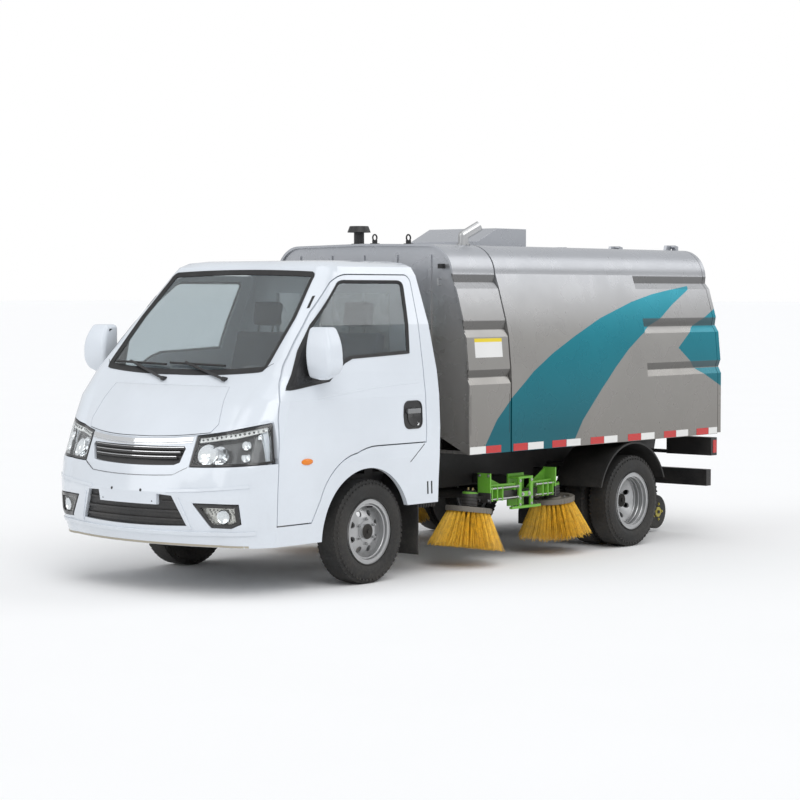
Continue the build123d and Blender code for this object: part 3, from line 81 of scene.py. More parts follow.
# ---------------------------------------------------------------- node graphs
class Graph:
    """Adds nodes to a tree. An input is a socket to link, or a value."""

    def __init__(self, tree):
        self.tree = tree

    def add(self, kind, *inputs, out=0, **settings):
        """An output of a new node. named holds inputs by name or number."""
        node = self.tree.nodes.new(kind)
        named = settings.pop("named", {})
        for key, value in settings.items():
            setattr(node, key, value)
        self.fill(node, {**dict(enumerate(inputs)), **named})
        return node.outputs[out]

    def fill(self, node, values):
        """Links or sets inputs of a node by name or number."""
        for key, value in values.items():
            if isinstance(value, bpy.types.NodeSocket):
                self.tree.links.new(value, node.inputs[key])
            elif value is not None:
                node.inputs[key].default_value = value

    def math(self, operation, a, b=None, clamp=False):
        """Result of one operation."""
        return self.add("ShaderNodeMath", a, b, operation=operation, use_clamp=clamp)

    def mix(self, factor, a, b):
        """Colour mix."""
        return self.add("ShaderNodeMix", out=2, data_type="RGBA", named={0: factor, 6: a, 7: b})

    def times(self, *factors):
        """Product of several values."""
        result = factors[0]
        for factor in factors[1:]:
            result = self.math("MULTIPLY", result, factor)
        return result

    def within(self, value, low, high):
        """1 between low and high, otherwise 0."""
        return self.times(self.math("GREATER_THAN", value, low), self.math("LESS_THAN", value, high))

    def use(self, tree, **values):
        """Outputs of a shared group."""
        return self.add("ShaderNodeGroup", node_tree=tree, named=values).node.outputs

    def noise(self, vector, scale, detail=3.0, roughness=0.55):
        """Noise texture on a vector."""
        return self.add("ShaderNodeTexNoise", named={"Vector": vector, "Scale": scale, "Detail": detail,
                                                     "Roughness": roughness})

    def span(self, value, low, high, to_low=0.0, to_high=1.0):
        """Clamped map of low..high onto to_low..to_high."""
        return self.add("ShaderNodeMapRange", value, low, high, to_low, to_high)

    def axis(self, vector, index):
        """One coordinate of a vector."""
        return self.add("ShaderNodeSeparateXYZ", vector, out=index)

    def apart(self, vector):
        """Distance from the truck's middle plane."""
        return self.math("ABSOLUTE", self.axis(vector, 0))

    def combine(self, x, y, z):
        """Vector of three values."""
        return self.add("ShaderNodeCombineXYZ", x, y, z)

    def scaled(self, vector, factors):
        """Vector multiplied by factors."""
        return self.add("ShaderNodeVectorMath", vector, factors, operation="MULTIPLY")


def group(name, inputs, outputs, fill, kind="ShaderNodeTree"):
    """Shared node group. inputs: (name, socket kind, default), outputs: (name, socket kind).

    fill takes the graph and the inputs, and gives the sockets of the outputs by name.
    """
    tree = bpy.data.node_groups.new(name, kind)
    for label, socket_kind, default in inputs:
        socket = tree.interface.new_socket(label, in_out="INPUT", socket_type=socket_kind)
        if default is not None:
            socket.default_value = default
    for label, socket_kind in outputs:
        tree.interface.new_socket(label, in_out="OUTPUT", socket_type=socket_kind)
    entry = tree.nodes.new("NodeGroupInput")
    leave = tree.nodes.new("NodeGroupOutput")
    g = Graph(tree)
    g.fill(leave, fill(g, entry.outputs))
    return tree


def raised(g, height, normal, strength, distance):
    """Normal of a height over another normal."""
    return g.add("ShaderNodeBump", named={"Strength": strength, "Distance": distance, "Height": height,
                                          "Normal": normal})


def fill_dirt(g, i):
    """Dust that thickens towards the ground and gathers in cloudy patches and fine specks."""
    cloud = g.noise(i["Position"], 5.0, 5.0, 0.6)
    fine = g.noise(i["Position"], 60.0, 4.0, 0.65)
    height = g.axis(i["Position"], 2)
    low = g.span(height, i["Low"], i["High"], 1.0, 0.12)
    patch = g.span(cloud, 0.38, 0.72)
    speck = g.span(fine, 0.45, 0.75)
    both = g.math("ADD", g.times(patch, 0.6), g.times(speck, 0.4))
    return {"Mask": g.math("MULTIPLY", g.times(both, low), i["Amount"], clamp=True)}


def fill_tone(g, i):
    """Large soft colour drift and a fine roughness drift."""
    broad = g.noise(i["Position"], i["Scale"], 3.0, 0.5)
    value = g.span(broad, 0.3, 0.7, 0.955, 1.035)
    smear = g.noise(i["Position"], g.times(i["Scale"], 5.0), 2.0, 0.5)
    return {"Color": g.add("ShaderNodeHueSaturation", named={"Color": i["Color"], "Value": value}),
            "Rough": g.span(smear, 0.3, 0.75, 0.88, 1.22)}


def fill_grain(g, i):
    """Surface grain as a normal."""
    cells = g.add("ShaderNodeTexVoronoi", named={"Vector": i["Position"], "Scale": i["Scale"]})
    rough = g.noise(i["Position"], g.times(i["Scale"], 0.6), 5.0, 0.6)
    height = g.math("ADD", cells, rough)
    return {"Normal": raised(g, height, None, i["Strength"], 0.0006)}


# ranges of the curves below: y, z and half width of the body side
SIDE_Y = (-0.30, 2.55)
SIDE_Z = (0.60, 1.90)
SIDE_X = (0.60, 0.95)
# edges of the painted swoosh and arrow: y, z
SWOOSH_TOP = ((-0.253, 0.780), (-0.189, 0.865), (-0.135, 0.936), (0.038, 1.083),
              (0.261, 1.236), (0.481, 1.348), (0.754, 1.462), (1.063, 1.572),
              (1.483, 1.681), (1.756, 1.733), (1.960, 1.760), (2.249, 1.792))
SWOOSH_FOOT = ((0.665, 0.717), (0.723, 0.789), (0.802, 0.895), (1.022, 1.099), (1.192, 1.241), (1.360, 1.359),
               (1.527, 1.452), (1.616, 1.495), (1.780, 1.559), (1.983, 1.661), (2.228, 1.765), (2.249, 1.790))
ARROW_TOP = ((1.977, 1.356), (2.185, 1.497), (2.501, 1.622))
ARROW_FOOT = ((1.977, 1.356), (2.200, 1.202), (2.494, 1.080))
SWOOSH_Y = (-0.30, 2.245)
ARROW_Y = (1.978, 2.520)
# height, half width: just inside the outer skin, and of the outer skin
BODY_SIDE = ((0.60, 0.878), (1.165, 0.878), (1.26, 0.856), (1.47, 0.846), (1.57, 0.815), (1.77, 0.765),
             (1.864, 0.725))
OUTER_SKIN = ((0.60, 0.890), (1.165, 0.890), (1.212, 0.888), (1.262, 0.885), (1.462, 0.866), (1.512, 0.856),
              (1.570, 0.843), (1.768, 0.786), (1.812, 0.771), (1.862, 0.754), (1.90, 0.740))
# low and high edge of the downward slopes of the side grooves, and the y between which the side is plain
GROOVE_SLOPES = ((1.208, 1.263), (1.508, 1.571), (1.808, 1.863))
PLAIN_Y = (0.015, 1.55)


def curve(g, value, points, across, up):
    """Piecewise straight height as a function of value."""
    node = g.tree.nodes.new("ShaderNodeFloatCurve")
    table = node.mapping.curves[0]
    scaled = [((a - across[0]) / (across[1] - across[0]), (b - up[0]) / (up[1] - up[0])) for a, b in points]
    while len(table.points) < len(scaled):
        table.points.new(0.5, 0.5)
    for point, place in zip(table.points, scaled):
        point.location = place
        point.handle_type = "VECTOR"
    node.mapping.update()
    g.tree.links.new(g.span(value, across[0], across[1]), node.inputs["Value"])
    return g.span(node.outputs[0], 0.0, 1.0, up[0], up[1])


def fill_stripes(g, i):
    """Swoosh and arrow painted on both sides."""
    y, z = g.axis(i["Position"], 1), g.axis(i["Position"], 2)

    def between(top, foot, reach):
        """Mask between two edges over a range of y."""
        under = g.math("LESS_THAN", z, curve(g, y, top, SIDE_Y, SIDE_Z))
        over = g.math("GREATER_THAN", z, curve(g, y, foot, SIDE_Y, SIDE_Z))
        return g.times(under, over, g.within(y, *reach))

    swoosh = between(SWOOSH_TOP, SWOOSH_FOOT, SWOOSH_Y)
    arrow = between(ARROW_TOP, ARROW_FOOT, ARROW_Y)
    skin = g.math("GREATER_THAN", g.apart(i["Position"]), curve(g, z, BODY_SIDE, SIDE_Z, SIDE_X))
    return {"Mask": g.times(g.math("MAXIMUM", swoosh, arrow), skin)}


POSITION = ("Position", VECTOR, None)
DIRT = group("Dirt", (POSITION, ("Low", FLOAT, 0.2), ("High", FLOAT, 1.0), ("Amount", FLOAT, 0.5)),
             (("Mask", FLOAT),), fill_dirt)
TONE = group("Tone", (POSITION, ("Color", COLOR, (1, 1, 1, 1)), ("Scale", FLOAT, 2.0)),
             (("Color", COLOR), ("Rough", FLOAT)), fill_tone)
GRAIN = group("Grain", (POSITION, ("Scale", FLOAT, 400.0), ("Strength", FLOAT, 0.2)),
              (("Normal", VECTOR),), fill_grain)
STRIPES = group("Stripes", (POSITION,), (("Mask", FLOAT),), fill_stripes)
DUST = (0.30, 0.27, 0.23, 1)
DUSTY_ROUGH = 0.85
# body panels near the skirt and half way up, the teal at both ends of its fade, and the painted shade on the
# grooves' downward slopes
PANEL_LOW, PANEL_MIDDLE = (0.235, 0.222, 0.205, 1), (0.335, 0.325, 0.31, 1)
TEAL_LOW, TEAL_HIGH = (0.0, 0.115, 0.150, 1), (0.0, 0.275, 0.36, 1)
GROOVE_PAINTED_SHADE = (0.055, 0.052, 0.048, 1)
CAB_PAINT, CARRIER_PAINT = (0.70, 0.745, 0.80), (0.15, 0.46, 0.03)


def rgba(color):
    """Colour with full opacity."""
    return (*color, 1.0)


def surface(name):
    """New material: (material, graph, object coordinates, shader)."""
    made = bpy.data.materials.new(name)
    made.use_nodes = True
    g = Graph(made.node_tree)
    return made, g, g.add("ShaderNodeTexCoord", out=3), made.node_tree.nodes["Principled BSDF"]


def material(name, color, rough, metallic=0.0, grain=0.15, grain_scale=500.0, dirt=0.3,
             dirt_z=(0.15, 1.1), coat=0.0, tone_scale=2.0, tint=None, bump=None):
    """A procedural surface: base colour with drift, dust by height, grain and any extra tint or bump."""
    made, g, place, shader = surface(name)
    base = rgba(color)
    if tint:
        base = tint(g, place, base)
    tone = g.use(TONE, Position=place, Color=base, Scale=tone_scale)
    soil = g.use(DIRT, Position=place, Low=dirt_z[0], High=dirt_z[1], Amount=dirt)["Mask"]
    clean = g.math("MULTIPLY", tone["Rough"], rough, clamp=True)
    normal = g.use(GRAIN, Position=place, Scale=grain_scale, Strength=grain)["Normal"]
    if bump:
        normal = bump(g, place, normal)
    g.fill(shader, {
        "Base Color": g.mix(soil, tone["Color"], DUST),
        "Roughness": g.span(soil, 0.0, 1.0, clean, DUSTY_ROUGH),
        "Normal": normal, "Metallic": metallic, "Coat Weight": coat, "Coat Roughness": 0.06})
    return made


def glass(name, color, rough=0.02, transmission=0.96, ior=1.45):
    """Clear or tinted cover with faint dust."""
    made, g, place, shader = surface(name)
    film = g.noise(place, 6.0, 5.0, 0.6)
    hazy = rgba([c * 0.9 + 0.05 for c in color])
    g.fill(shader, {
        "Base Color": g.mix(g.span(film, 0.45, 0.8, 0.0, 0.25), rgba(color), hazy),
        "Roughness": g.span(film, 0.4, 0.8, rough, rough + 0.06),
        "Transmission Weight": transmission, "IOR": ior})
    return made


def brushed(g, place, normal):
    """Fine brushed lines along the truck."""
    return raised(g, g.noise(g.scaled(place, (900.0, 12.0, 900.0)), 1.0, 2.0, 0.5), normal, 0.12, 0.0004)


def painted_groove_shade(g, place):
    """Mask of the downward slopes of the side grooves, where shade is painted."""
    height = g.axis(place, 2)
    depth = g.math("SUBTRACT", curve(g, height, OUTER_SKIN, SIDE_Z, SIDE_X), g.apart(place))
    slopes = 0.0
    for floor, top in GROOVE_SLOPES:
        slopes = g.math("MAXIMUM", slopes, g.within(height, floor, top))
    along = g.axis(place, 1)
    ends = g.math("MAXIMUM", g.math("LESS_THAN", along, PLAIN_Y[0]),
                  g.math("GREATER_THAN", along, PLAIN_Y[1]))
    near = g.times(g.math("LESS_THAN", depth, 0.025), ends)
    return g.times(slopes, near, g.span(depth, 0.0005, 0.003))


def body_tint(g, place, start):
    """Stainless panels that grow warmer and darker downwards, with the teal swoosh and arrow, and painted
    shade on the downward slopes of the side grooves.
    """
    height = g.axis(place, 2)
    low = g.mix(g.span(height, 0.72, 1.45), PANEL_LOW, PANEL_MIDDLE)
    panel = g.mix(g.span(height, 1.45, 2.02), low, start)
    teal = g.mix(g.span(height, 0.85, 1.80), TEAL_LOW, TEAL_HIGH)
    painted = g.mix(g.use(STRIPES, Position=place)["Mask"], panel, teal)
    # painted shade darkens the downward slopes of the side grooves
    return g.mix(g.times(painted_groove_shade(g, place), 0.72), painted, GROOVE_PAINTED_SHADE)


def arm_tint(g, place, start):
    """The motor on the end of each arm is black."""
    outer = g.math("GREATER_THAN", g.apart(place), 0.61)
    low = g.math("LESS_THAN", g.axis(place, 2), 0.462)
    return g.mix(g.times(low, outer), start, (0.02, 0.02, 0.021, 1))


def bristle_tint(g, place, start):
    """Darker at the tips, with painted shade between strands."""
    height = g.axis(place, 2)
    strands = g.noise(g.scaled(place, (230.0, 230.0, 16.0)), 1.0, 3.0, 0.6)
    wide = g.noise(place, 34.0, 2.0, 0.5)
    tips = g.mix(g.span(height, 0.03, 0.22, 0.7, 0.0), start, (0.42, 0.21, 0.03, 1))
    # painted shade in the gaps between the strands
    strand_gap_shade = g.mix(g.span(strands, 0.52, 0.68, 0.0, 0.65), tips, (0.20, 0.095, 0.015, 1))
    return g.mix(g.span(wide, 0.48, 0.68, 0.0, 0.35), strand_gap_shade, (0.30, 0.16, 0.03, 1))


def mirror_tint(g, place, start):
    """White head on a black arm and corner plate."""
    return g.mix(g.span(g.apart(place), 0.8455, 0.8465), (0.016, 0.016, 0.017, 1), start)


def woven(g, place, normal):
    """Plain weave."""
    squares = g.add("ShaderNodeTexChecker", named={"Vector": place, "Scale": 420.0}, out=1)
    return raised(g, squares, normal, 0.35, 0.0008)


def hexagons(g, place, normal):
    """Prism cells of a reflector."""
    cells = g.add("ShaderNodeTexVoronoi", named={"Vector": place, "Scale": 160.0})
    return raised(g, cells, normal, 0.5, 0.001)


CAB_WHITE = material("cab white", CAB_PAINT, 0.16, grain=0.02, dirt=0.10, coat=0.6,
                     dirt_z=(0.3, 1.0))
MIRROR_SHELL = material("mirror shell", CAB_PAINT, 0.22, grain=0.05, dirt=0.1, tint=mirror_tint)
BODY_GREY = material("body grey", (0.44, 0.455, 0.485), 0.28, metallic=0.5, grain=0.0, dirt=0.0,
                     tint=body_tint, dirt_z=(0.7, 1.6), tone_scale=1.2)
GREEN = material("carrier green", CARRIER_PAINT, 0.38, grain=0.12, dirt=0.4,
                 dirt_z=(0.2, 0.9))
WHEEL = material("wheel silver", (0.46, 0.465, 0.47), 0.32, metallic=0.65, grain=0.1,
                 dirt=0.25, dirt_z=(0.0, 0.9))
FRAME_BLACK = material("frame black", (0.014, 0.014, 0.015), 0.5, grain=0.2, dirt=0.16,
                       dirt_z=(0.1, 1.0))
PLASTIC = material("black plastic", (0.016, 0.016, 0.017), 0.42, grain=0.35,
                   grain_scale=900.0, dirt=0.22, dirt_z=(0.2, 1.0))
GUARD = material("guard rubber", (0.010, 0.010, 0.010), 0.6, grain=0.3, dirt=0.2,
                 dirt_z=(0.1, 0.8))
BEZEL = material("lamp bezel", (0.012, 0.012, 0.013), 0.16, grain=0.02, dirt=0.08, coat=0.4)
RUBBER = material("seal rubber", (0.010, 0.010, 0.011), 0.55, grain=0.2, grain_scale=700.0,
                  dirt=0.15)
TYRE = material("tyre rubber", (0.012, 0.012, 0.012), 0.68, grain=0.35, grain_scale=350.0,
                dirt=0.22, dirt_z=(0.0, 0.8))
IRON = material("cast iron", (0.028, 0.027, 0.026), 0.62, metallic=0.6, grain=0.5,
                grain_scale=260.0, dirt=0.25)
STEEL = material("worn steel", (0.48, 0.485, 0.49), 0.32, metallic=0.9, grain=0.1, dirt=0.2,
                 bump=brushed)
HANDLE = material("handle grey", (0.24, 0.245, 0.25), 0.35, metallic=0.5, grain=0.1, dirt=0.1)
CHROME = material("chrome", (0.82, 0.83, 0.84), 0.07, metallic=1.0, grain=0.01, dirt=0.04)
BRISTLE = material("brush bristle", (1.0, 0.62, 0.045), 0.55, grain=0.1, dirt=0.3,
                   dirt_z=(0.02, 0.4), tint=bristle_tint)
SEAT = material("seat cloth", (0.035, 0.042, 0.065), 0.85, grain=0.5, grain_scale=700.0,
                dirt=0.1, bump=woven)
TRIM = material("cabin trim", (0.085, 0.09, 0.095), 0.55, grain=0.35, grain_scale=600.0,
                dirt=0.1)
ARM = material("arm green", CARRIER_PAINT, 0.38, grain=0.12, dirt=0.4, dirt_z=(0.2, 0.9),
               tint=arm_tint)
PLATE_GREY = material("brush plate", (0.20, 0.185, 0.16), 0.6, metallic=0.4, grain=0.3, dirt=0.6,
                      dirt_z=(0.2, 0.9))
RED = material("red reflector", (0.55, 0.02, 0.02), 0.2, grain=0.0, dirt=0.15, bump=hexagons)
WHITE_TAPE = material("white reflector", (0.78, 0.78, 0.76), 0.2, grain=0.0, dirt=0.15,
                      bump=hexagons)
AMBER = material("amber lens", (0.80, 0.22, 0.01), 0.15, grain=0.0, dirt=0.08, bump=hexagons)
OLIVE = material("hub caps", (0.42, 0.36, 0.06), 0.4, metallic=0.4, grain=0.1, dirt=0.4,
                 dirt_z=(0.0, 0.5))
PEARL = material("fog reflector", (0.62, 0.60, 0.55), 0.22, metallic=0.7, grain=0.0, dirt=0.1,
                 bump=hexagons)
YELLOW = material("label yellow", (0.80, 0.62, 0.03), 0.35, grain=0.0, dirt=0.05)
LABEL = material("label white", (0.78, 0.78, 0.77), 0.35, grain=0.0, dirt=0.05)
BRASS = material("brass fittings", (0.42, 0.33, 0.16), 0.35, metallic=0.85, grain=0.1, dirt=0.2)
BEIGE = material("primer underside", (0.42, 0.38, 0.30), 0.6, grain=0.2, dirt=0.3)
LENS = glass("lamp lens", (0.93, 0.95, 0.96), ior=1.15)
WINDOW = glass("window glass", (0.66, 0.72, 0.74), rough=0.015)
MIRROR = material("mirror glass", (0.75, 0.78, 0.80), 0.03, metallic=1.0, grain=0.0, dirt=0.05)


# ---------------------------------------------------------------- mesh building
def put_object(name, data):
    """New object in the scene."""
    made = bpy.data.objects.new(name, data)
    bpy.context.scene.collection.objects.link(made)
    return made


def evaluated_mesh(piece):
    """Mesh of an object with its modifiers applied."""
    depsgraph = bpy.context.evaluated_depsgraph_get()
    depsgraph.update()
    return bpy.data.meshes.new_from_object(piece.evaluated_get(depsgraph))


def round_points(count):
    """(cosine, sine) of evenly spaced directions."""
    return [(math.cos(a), math.sin(a)) for a in (2 * math.pi * k / count for k in range(count))]


CORE_R = 0.00005        # least radius of a turned shape
BOWL_STEPS = [k / 6 for k in range(7)]


class Build:
    """Collects closed shapes and makes one mesh of them."""

    def __init__(self):
        self.verts = []
        self.faces = []

    def put(self, verts, faces):
        """Adds vertices and the faces between them."""
        base = len(self.verts)
        self.verts += [tuple(v) for v in verts]
        self.faces += [tuple(base + i for i in f) for f in faces]

    def loft(self, rings, closed):
        """Joins rings of points into a closed loop, or into a bar with two end faces."""
        count, wide = len(rings), len(rings[0])
        faces = []
        for i in range(count if closed else count - 1):
            here, there = i * wide, (i + 1) % count * wide
            faces += [(here + k, here + (k + 1) % wide, there + (k + 1) % wide, there + k)
                      for k in range(wide)]
        if not closed:
            faces += [tuple(range(wide))[::-1], tuple((count - 1) * wide + k for k in range(wide))]
        self.put([p for ring in rings for p in ring], faces)

    def box(self, low, high, matrix=None):
        """Box between two opposite corners."""
        (x0, x1), (y0, y1), (z0, z1) = (sorted(pair) for pair in zip(low, high))
        verts = [Vector(v) for v in ((x0, y0, z0), (x1, y0, z0), (x1, y1, z0), (x0, y1, z0),
                                     (x0, y0, z1), (x1, y0, z1), (x1, y1, z1), (x0, y1, z1))]
        if matrix is not None:
            verts = [matrix @ v for v in verts]
        self.put(verts, ((0, 3, 2, 1), (4, 5, 6, 7), (0, 1, 5, 4), (1, 2, 6, 5), (2, 3, 7, 6), (3, 0, 4, 7)))

    def tube(self, path, radius, sides=8, closed=False):
        """Round bar along a path of points."""
        points = [Vector(p) for p in path]
        count = len(points)
        rings = []
        normal = None
        for i, p in enumerate(points):
            before = points[i - 1] if (i > 0 or closed) else p
            after = points[(i + 1) % count] if (i < count - 1 or closed) else p
            along = (after - before).normalized()
            if normal is None:
                normal = along.orthogonal().normalized()
            normal = (normal - along * normal.dot(along)).normalized()
            side = along.cross(normal)
            rings.append([p + (normal * c + side * s) * radius for c, s in round_points(sides)])
        self.loft(rings, closed)

    def lathe(self, profile, center, axis, sides=48):
        """Closed profile of (along axis, radius) turned about the axis through center."""
        axis = Vector(axis).normalized()
        normal = axis.orthogonal().normalized()
        side = axis.cross(normal)
        center = Vector(center)
        self.loft([[center + axis * h + (normal * c + side * s) * max(r, CORE_R) for h, r in profile]
                   for c, s in round_points(sides)], closed=True)

    def disc(self, start, end, radius, sides=32):
        """Cylinder between two points."""
        start, end = Vector(start), Vector(end)
        length = (end - start).length
        self.lathe([(0, 0), (0, radius), (length, radius), (length, 0)], start, end - start, sides)

    def bolt(self, at, axis, radius, height):
        """Hexagon head on a washer."""
        at, axis = Vector(at), Vector(axis).normalized()
        self.disc(at - axis * 0.001, at + axis * 0.0015, radius * 1.45, 16)
        profile = [(0, 0), (0, radius), (height * 0.85, radius), (height, radius * 0.82), (height, 0)]
        self.lathe(profile, at, axis, 6)

    def mesh(self, name):
        """Mesh of what was collected, with its faces turned outwards."""
        mesh = bpy.data.meshes.new(name)
        mesh.from_pydata(self.verts, [], self.faces)
        shape = bmesh.new()
        shape.from_mesh(mesh)
        bmesh.ops.recalc_face_normals(shape, faces=shape.faces)
        shape.to_mesh(mesh)
        shape.free()
        return mesh

    def done(self, name, mat, body=CHASSIS, smooth=35, bevel=0.0, mirrored=False, slot=None):
        """Makes the piece from what was collected, on the other side too if mirrored."""
        if mirrored:
            self.put([(-x, y, z) for x, y, z in self.verts], [f[::-1] for f in self.faces])
        return finish_piece(name, self.mesh(name), mat, body, smooth, bevel)


def finish_piece(name, mesh, mat, body, smooth=35, bevel=0.0):
    """Object for a finished mesh: look, soft shading, eased edges and body."""
    mesh.materials.clear()
    mesh.materials.append(mat)
    mesh.shade_smooth()
    mesh.set_sharp_from_angle(angle=math.radians(smooth))
    piece = put_object(name, mesh)
    if bevel:
        edge = piece.modifiers.new("Bevel", "BEVEL")
        edge.width = bevel
        edge.segments = 2
        edge.limit_method = "ANGLE"
        edge.angle_limit = math.radians(40)
        edge.harden_normals = True
    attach(piece, body)
    return piece


def tree_of(*names):
    """Ray-casting tree of CAD nodes. The mirror heads are left out."""
    verts, faces = [], []
    for name in names:
        mesh = NODES[name].data
        base = len(verts)
        verts += [v.co.copy() for v in mesh.vertices]
        head = name.startswith("mirror")
        faces += [[base + i for i in p.vertices] for p in mesh.polygons
                  if not head or max(abs(mesh.vertices[i].co.x) for i in p.vertices) < MIRROR_HEAD_X]
    return BVHTree.FromPolygons(verts, faces)


def cast(tree, start, along, reach=6.0):
    """(point, normal) where a ray meets the tree, or None."""
    along = Vector(along).normalized()
    point, normal, _, _ = tree.ray_cast(Vector(start), along, reach)
    if point is None:
        return None
    if normal.dot(along) > 0:
        normal = -normal
    return point, normal


# ---------------------------------------------------------------- CAD nodes
def pairs(*names):
    """Names of the left and right node of each."""
    return tuple(f"{name}_{side}" for name in names for side, _ in SIDES)


CAB_SKIN = ("cab_shell", *pairs("door"), "bonnet", "front_bumper", "grille")
TANK = ("hopper_shell", "power_housing", "tailgate")
LOOKS = (
    (CAB_WHITE, CAB_SKIN),
    (BODY_GREY, (*TANK, "fan_hood")),
    (GREEN, ("brush_brackets",)),
    (ARM, pairs("brush_arm_front", "brush_arm_rear")),
    (WHEEL, pairs("rim_front", "rims_rear")),
    (FRAME_BLACK, ("chassis_frame", "rear_underrun", "side_boxes", "suction_nozzle", "tip_cylinder_barrels",
                   "suction_pipe")),
    (PLASTIC, ("grille_inserts", "wipers", "intake_cap")),
    (MIRROR_SHELL, pairs("mirror")),
    (GUARD, ("mudguards",)),
    (BEZEL, ("front_lamps",)),
    (FRAME_BLACK, ("tail_lamps",)),
    (WINDOW, ("cab_glass", *pairs("door_glass"))),
    (TYRE, (*pairs("tyre_front", "tyres_rear"), "nozzle_wheels")),
    (SEAT, ("seats",)),
    (TRIM, ("dashboard", "steering_wheel")),
    (IRON, ("front_axle", "rear_axle", *pairs("knuckle"), "powertrain", "aux_engine")),
    (STEEL, ("tip_cylinder_rods", "exhaust_pipe")),
    (BRISTLE, pairs("brush_front", "brush_rear")),
)
for look, names in LOOKS:
    for node_name in names:
        mesh = NODES[node_name].data
        mesh.materials.clear()
        mesh.materials.append(look)


def rounded(node_name, angle, bevel):
    """Shown copy of a CAD node with joined vertices, soft shading over shallow edges and eased corners."""
    source = NODES[node_name]
    shape = bmesh.new()
    shape.from_mesh(source.data)
    bmesh.ops.remove_doubles(shape, verts=shape.verts, dist=0.00002)
    bmesh.ops.dissolve_limit(shape, angle_limit=math.radians(0.3), verts=shape.verts, edges=shape.edges)
    mesh = bpy.data.meshes.new(node_name + "_shown")
    shape.to_mesh(mesh)
    shape.free()
    look, body = source.data.materials[0], body_of(source)[0]
    piece = finish_piece(node_name + "_shown", mesh, look, body, angle, bevel)
    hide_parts(node_name)
    return piece


WALL_X = 0.6
WALL_Z = (0.73, 1.88)
ROOF_ARC_Z = 1.86
# height, slope in degrees of the body's side wall
WALL_SLOPE = ((0.95, 0.0), (1.212, 3.0), (1.365, 5.4), (1.520, 11.8), (1.670, 15.8), (1.817, 18.8),
              (1.864, 20.0))


def wall_normal(x, z):
    """Normal of the body's side as if it were one smooth curve."""
    low = WALL_SLOPE[0]
    slope = WALL_SLOPE[-1][1]
    for high in WALL_SLOPE:
        if z <= high[0]:
            share = 0.0 if high is low else (z - low[0]) / (high[0] - low[0])
            slope = low[1] + (high[1] - low[1]) * share
            break
        low = high
    turn = math.radians(slope)
    return Vector((math.copysign(math.cos(turn), x), 0, math.sin(turn)))


def smooth_wall(piece):
    """Shades the flat bands of the outer side walls as one curve. Grooves and edges stay crisp."""
    mesh = piece.data
    shape = bmesh.new()
    shape.from_mesh(mesh)
    for edge in shape.edges:
        if min(v.co.z for v in edge.verts) > ROOF_ARC_Z and edge.calc_face_angle(math.pi) < math.radians(20):
            edge.smooth = True
    shape.to_mesh(mesh)
    shape.free()
    normals = [n.vector.copy() for n in mesh.corner_normals]
    for face in mesh.polygons:
        x, _, z = face.center
        if abs(x) < WALL_X or not WALL_Z[0] < z < WALL_Z[1] or face.normal.x * x < 0:
            continue
        if face.normal.angle(wall_normal(x, z)) > math.radians(4.5):
            continue
        for k in face.loop_indices:
            co = mesh.vertices[mesh.loops[k].vertex_index].co
            normals[k] = wall_normal(x, co.z)
    mesh.normals_split_custom_set(normals)


# ---------------------------------------------------------------- repeated pieces
GEOMETRY = ("Geometry", "NodeSocketGeometry", None)


def node_group(name, inputs, fill):
    """Geometry group. inputs: (name, socket kind, default)."""
    return group(name, (GEOMETRY, *inputs, ("Material", MATERIAL, None)), (GEOMETRY[:2],), fill,
                 "GeometryNodeTree")


def copies(g, i, **placing):
    """Copies on points, as real geometry with its material."""
    real = g.add("GeometryNodeRealizeInstances", g.add("GeometryNodeInstanceOnPoints", named=placing))
    return {"Geometry": g.add("GeometryNodeSetMaterial", real, named={"Material": i["Material"]})}


def fill_turned(g, i):
    """Copies of the input turned evenly about an axis through a centre."""
    points = g.add("GeometryNodePoints", i["Count"], i["Centre"])
    step = g.math("DIVIDE", 2 * math.pi, i["Count"])
    angle = g.times(g.add("GeometryNodeInputIndex"), step)
    turn = g.add("FunctionNodeAxisAngleToRotation", i["Axis"], angle)
    back = g.scaled(i["Centre"], (-1, -1, -1))
    unit = g.add("GeometryNodeTransform", i["Geometry"], named={"Translation": back})
    return copies(g, i, Points=points, Instance=unit, Rotation=turn)


def fill_row(g, i):
    """Copies of the input in a row."""
    index = g.add("GeometryNodeInputIndex")
    place = g.add("ShaderNodeVectorMath", i["Step"], operation="SCALE", named={"Scale": index})
    points = g.add("GeometryNodePoints", i["Count"], place)
    return copies(g, i, Points=points, Instance=i["Geometry"])


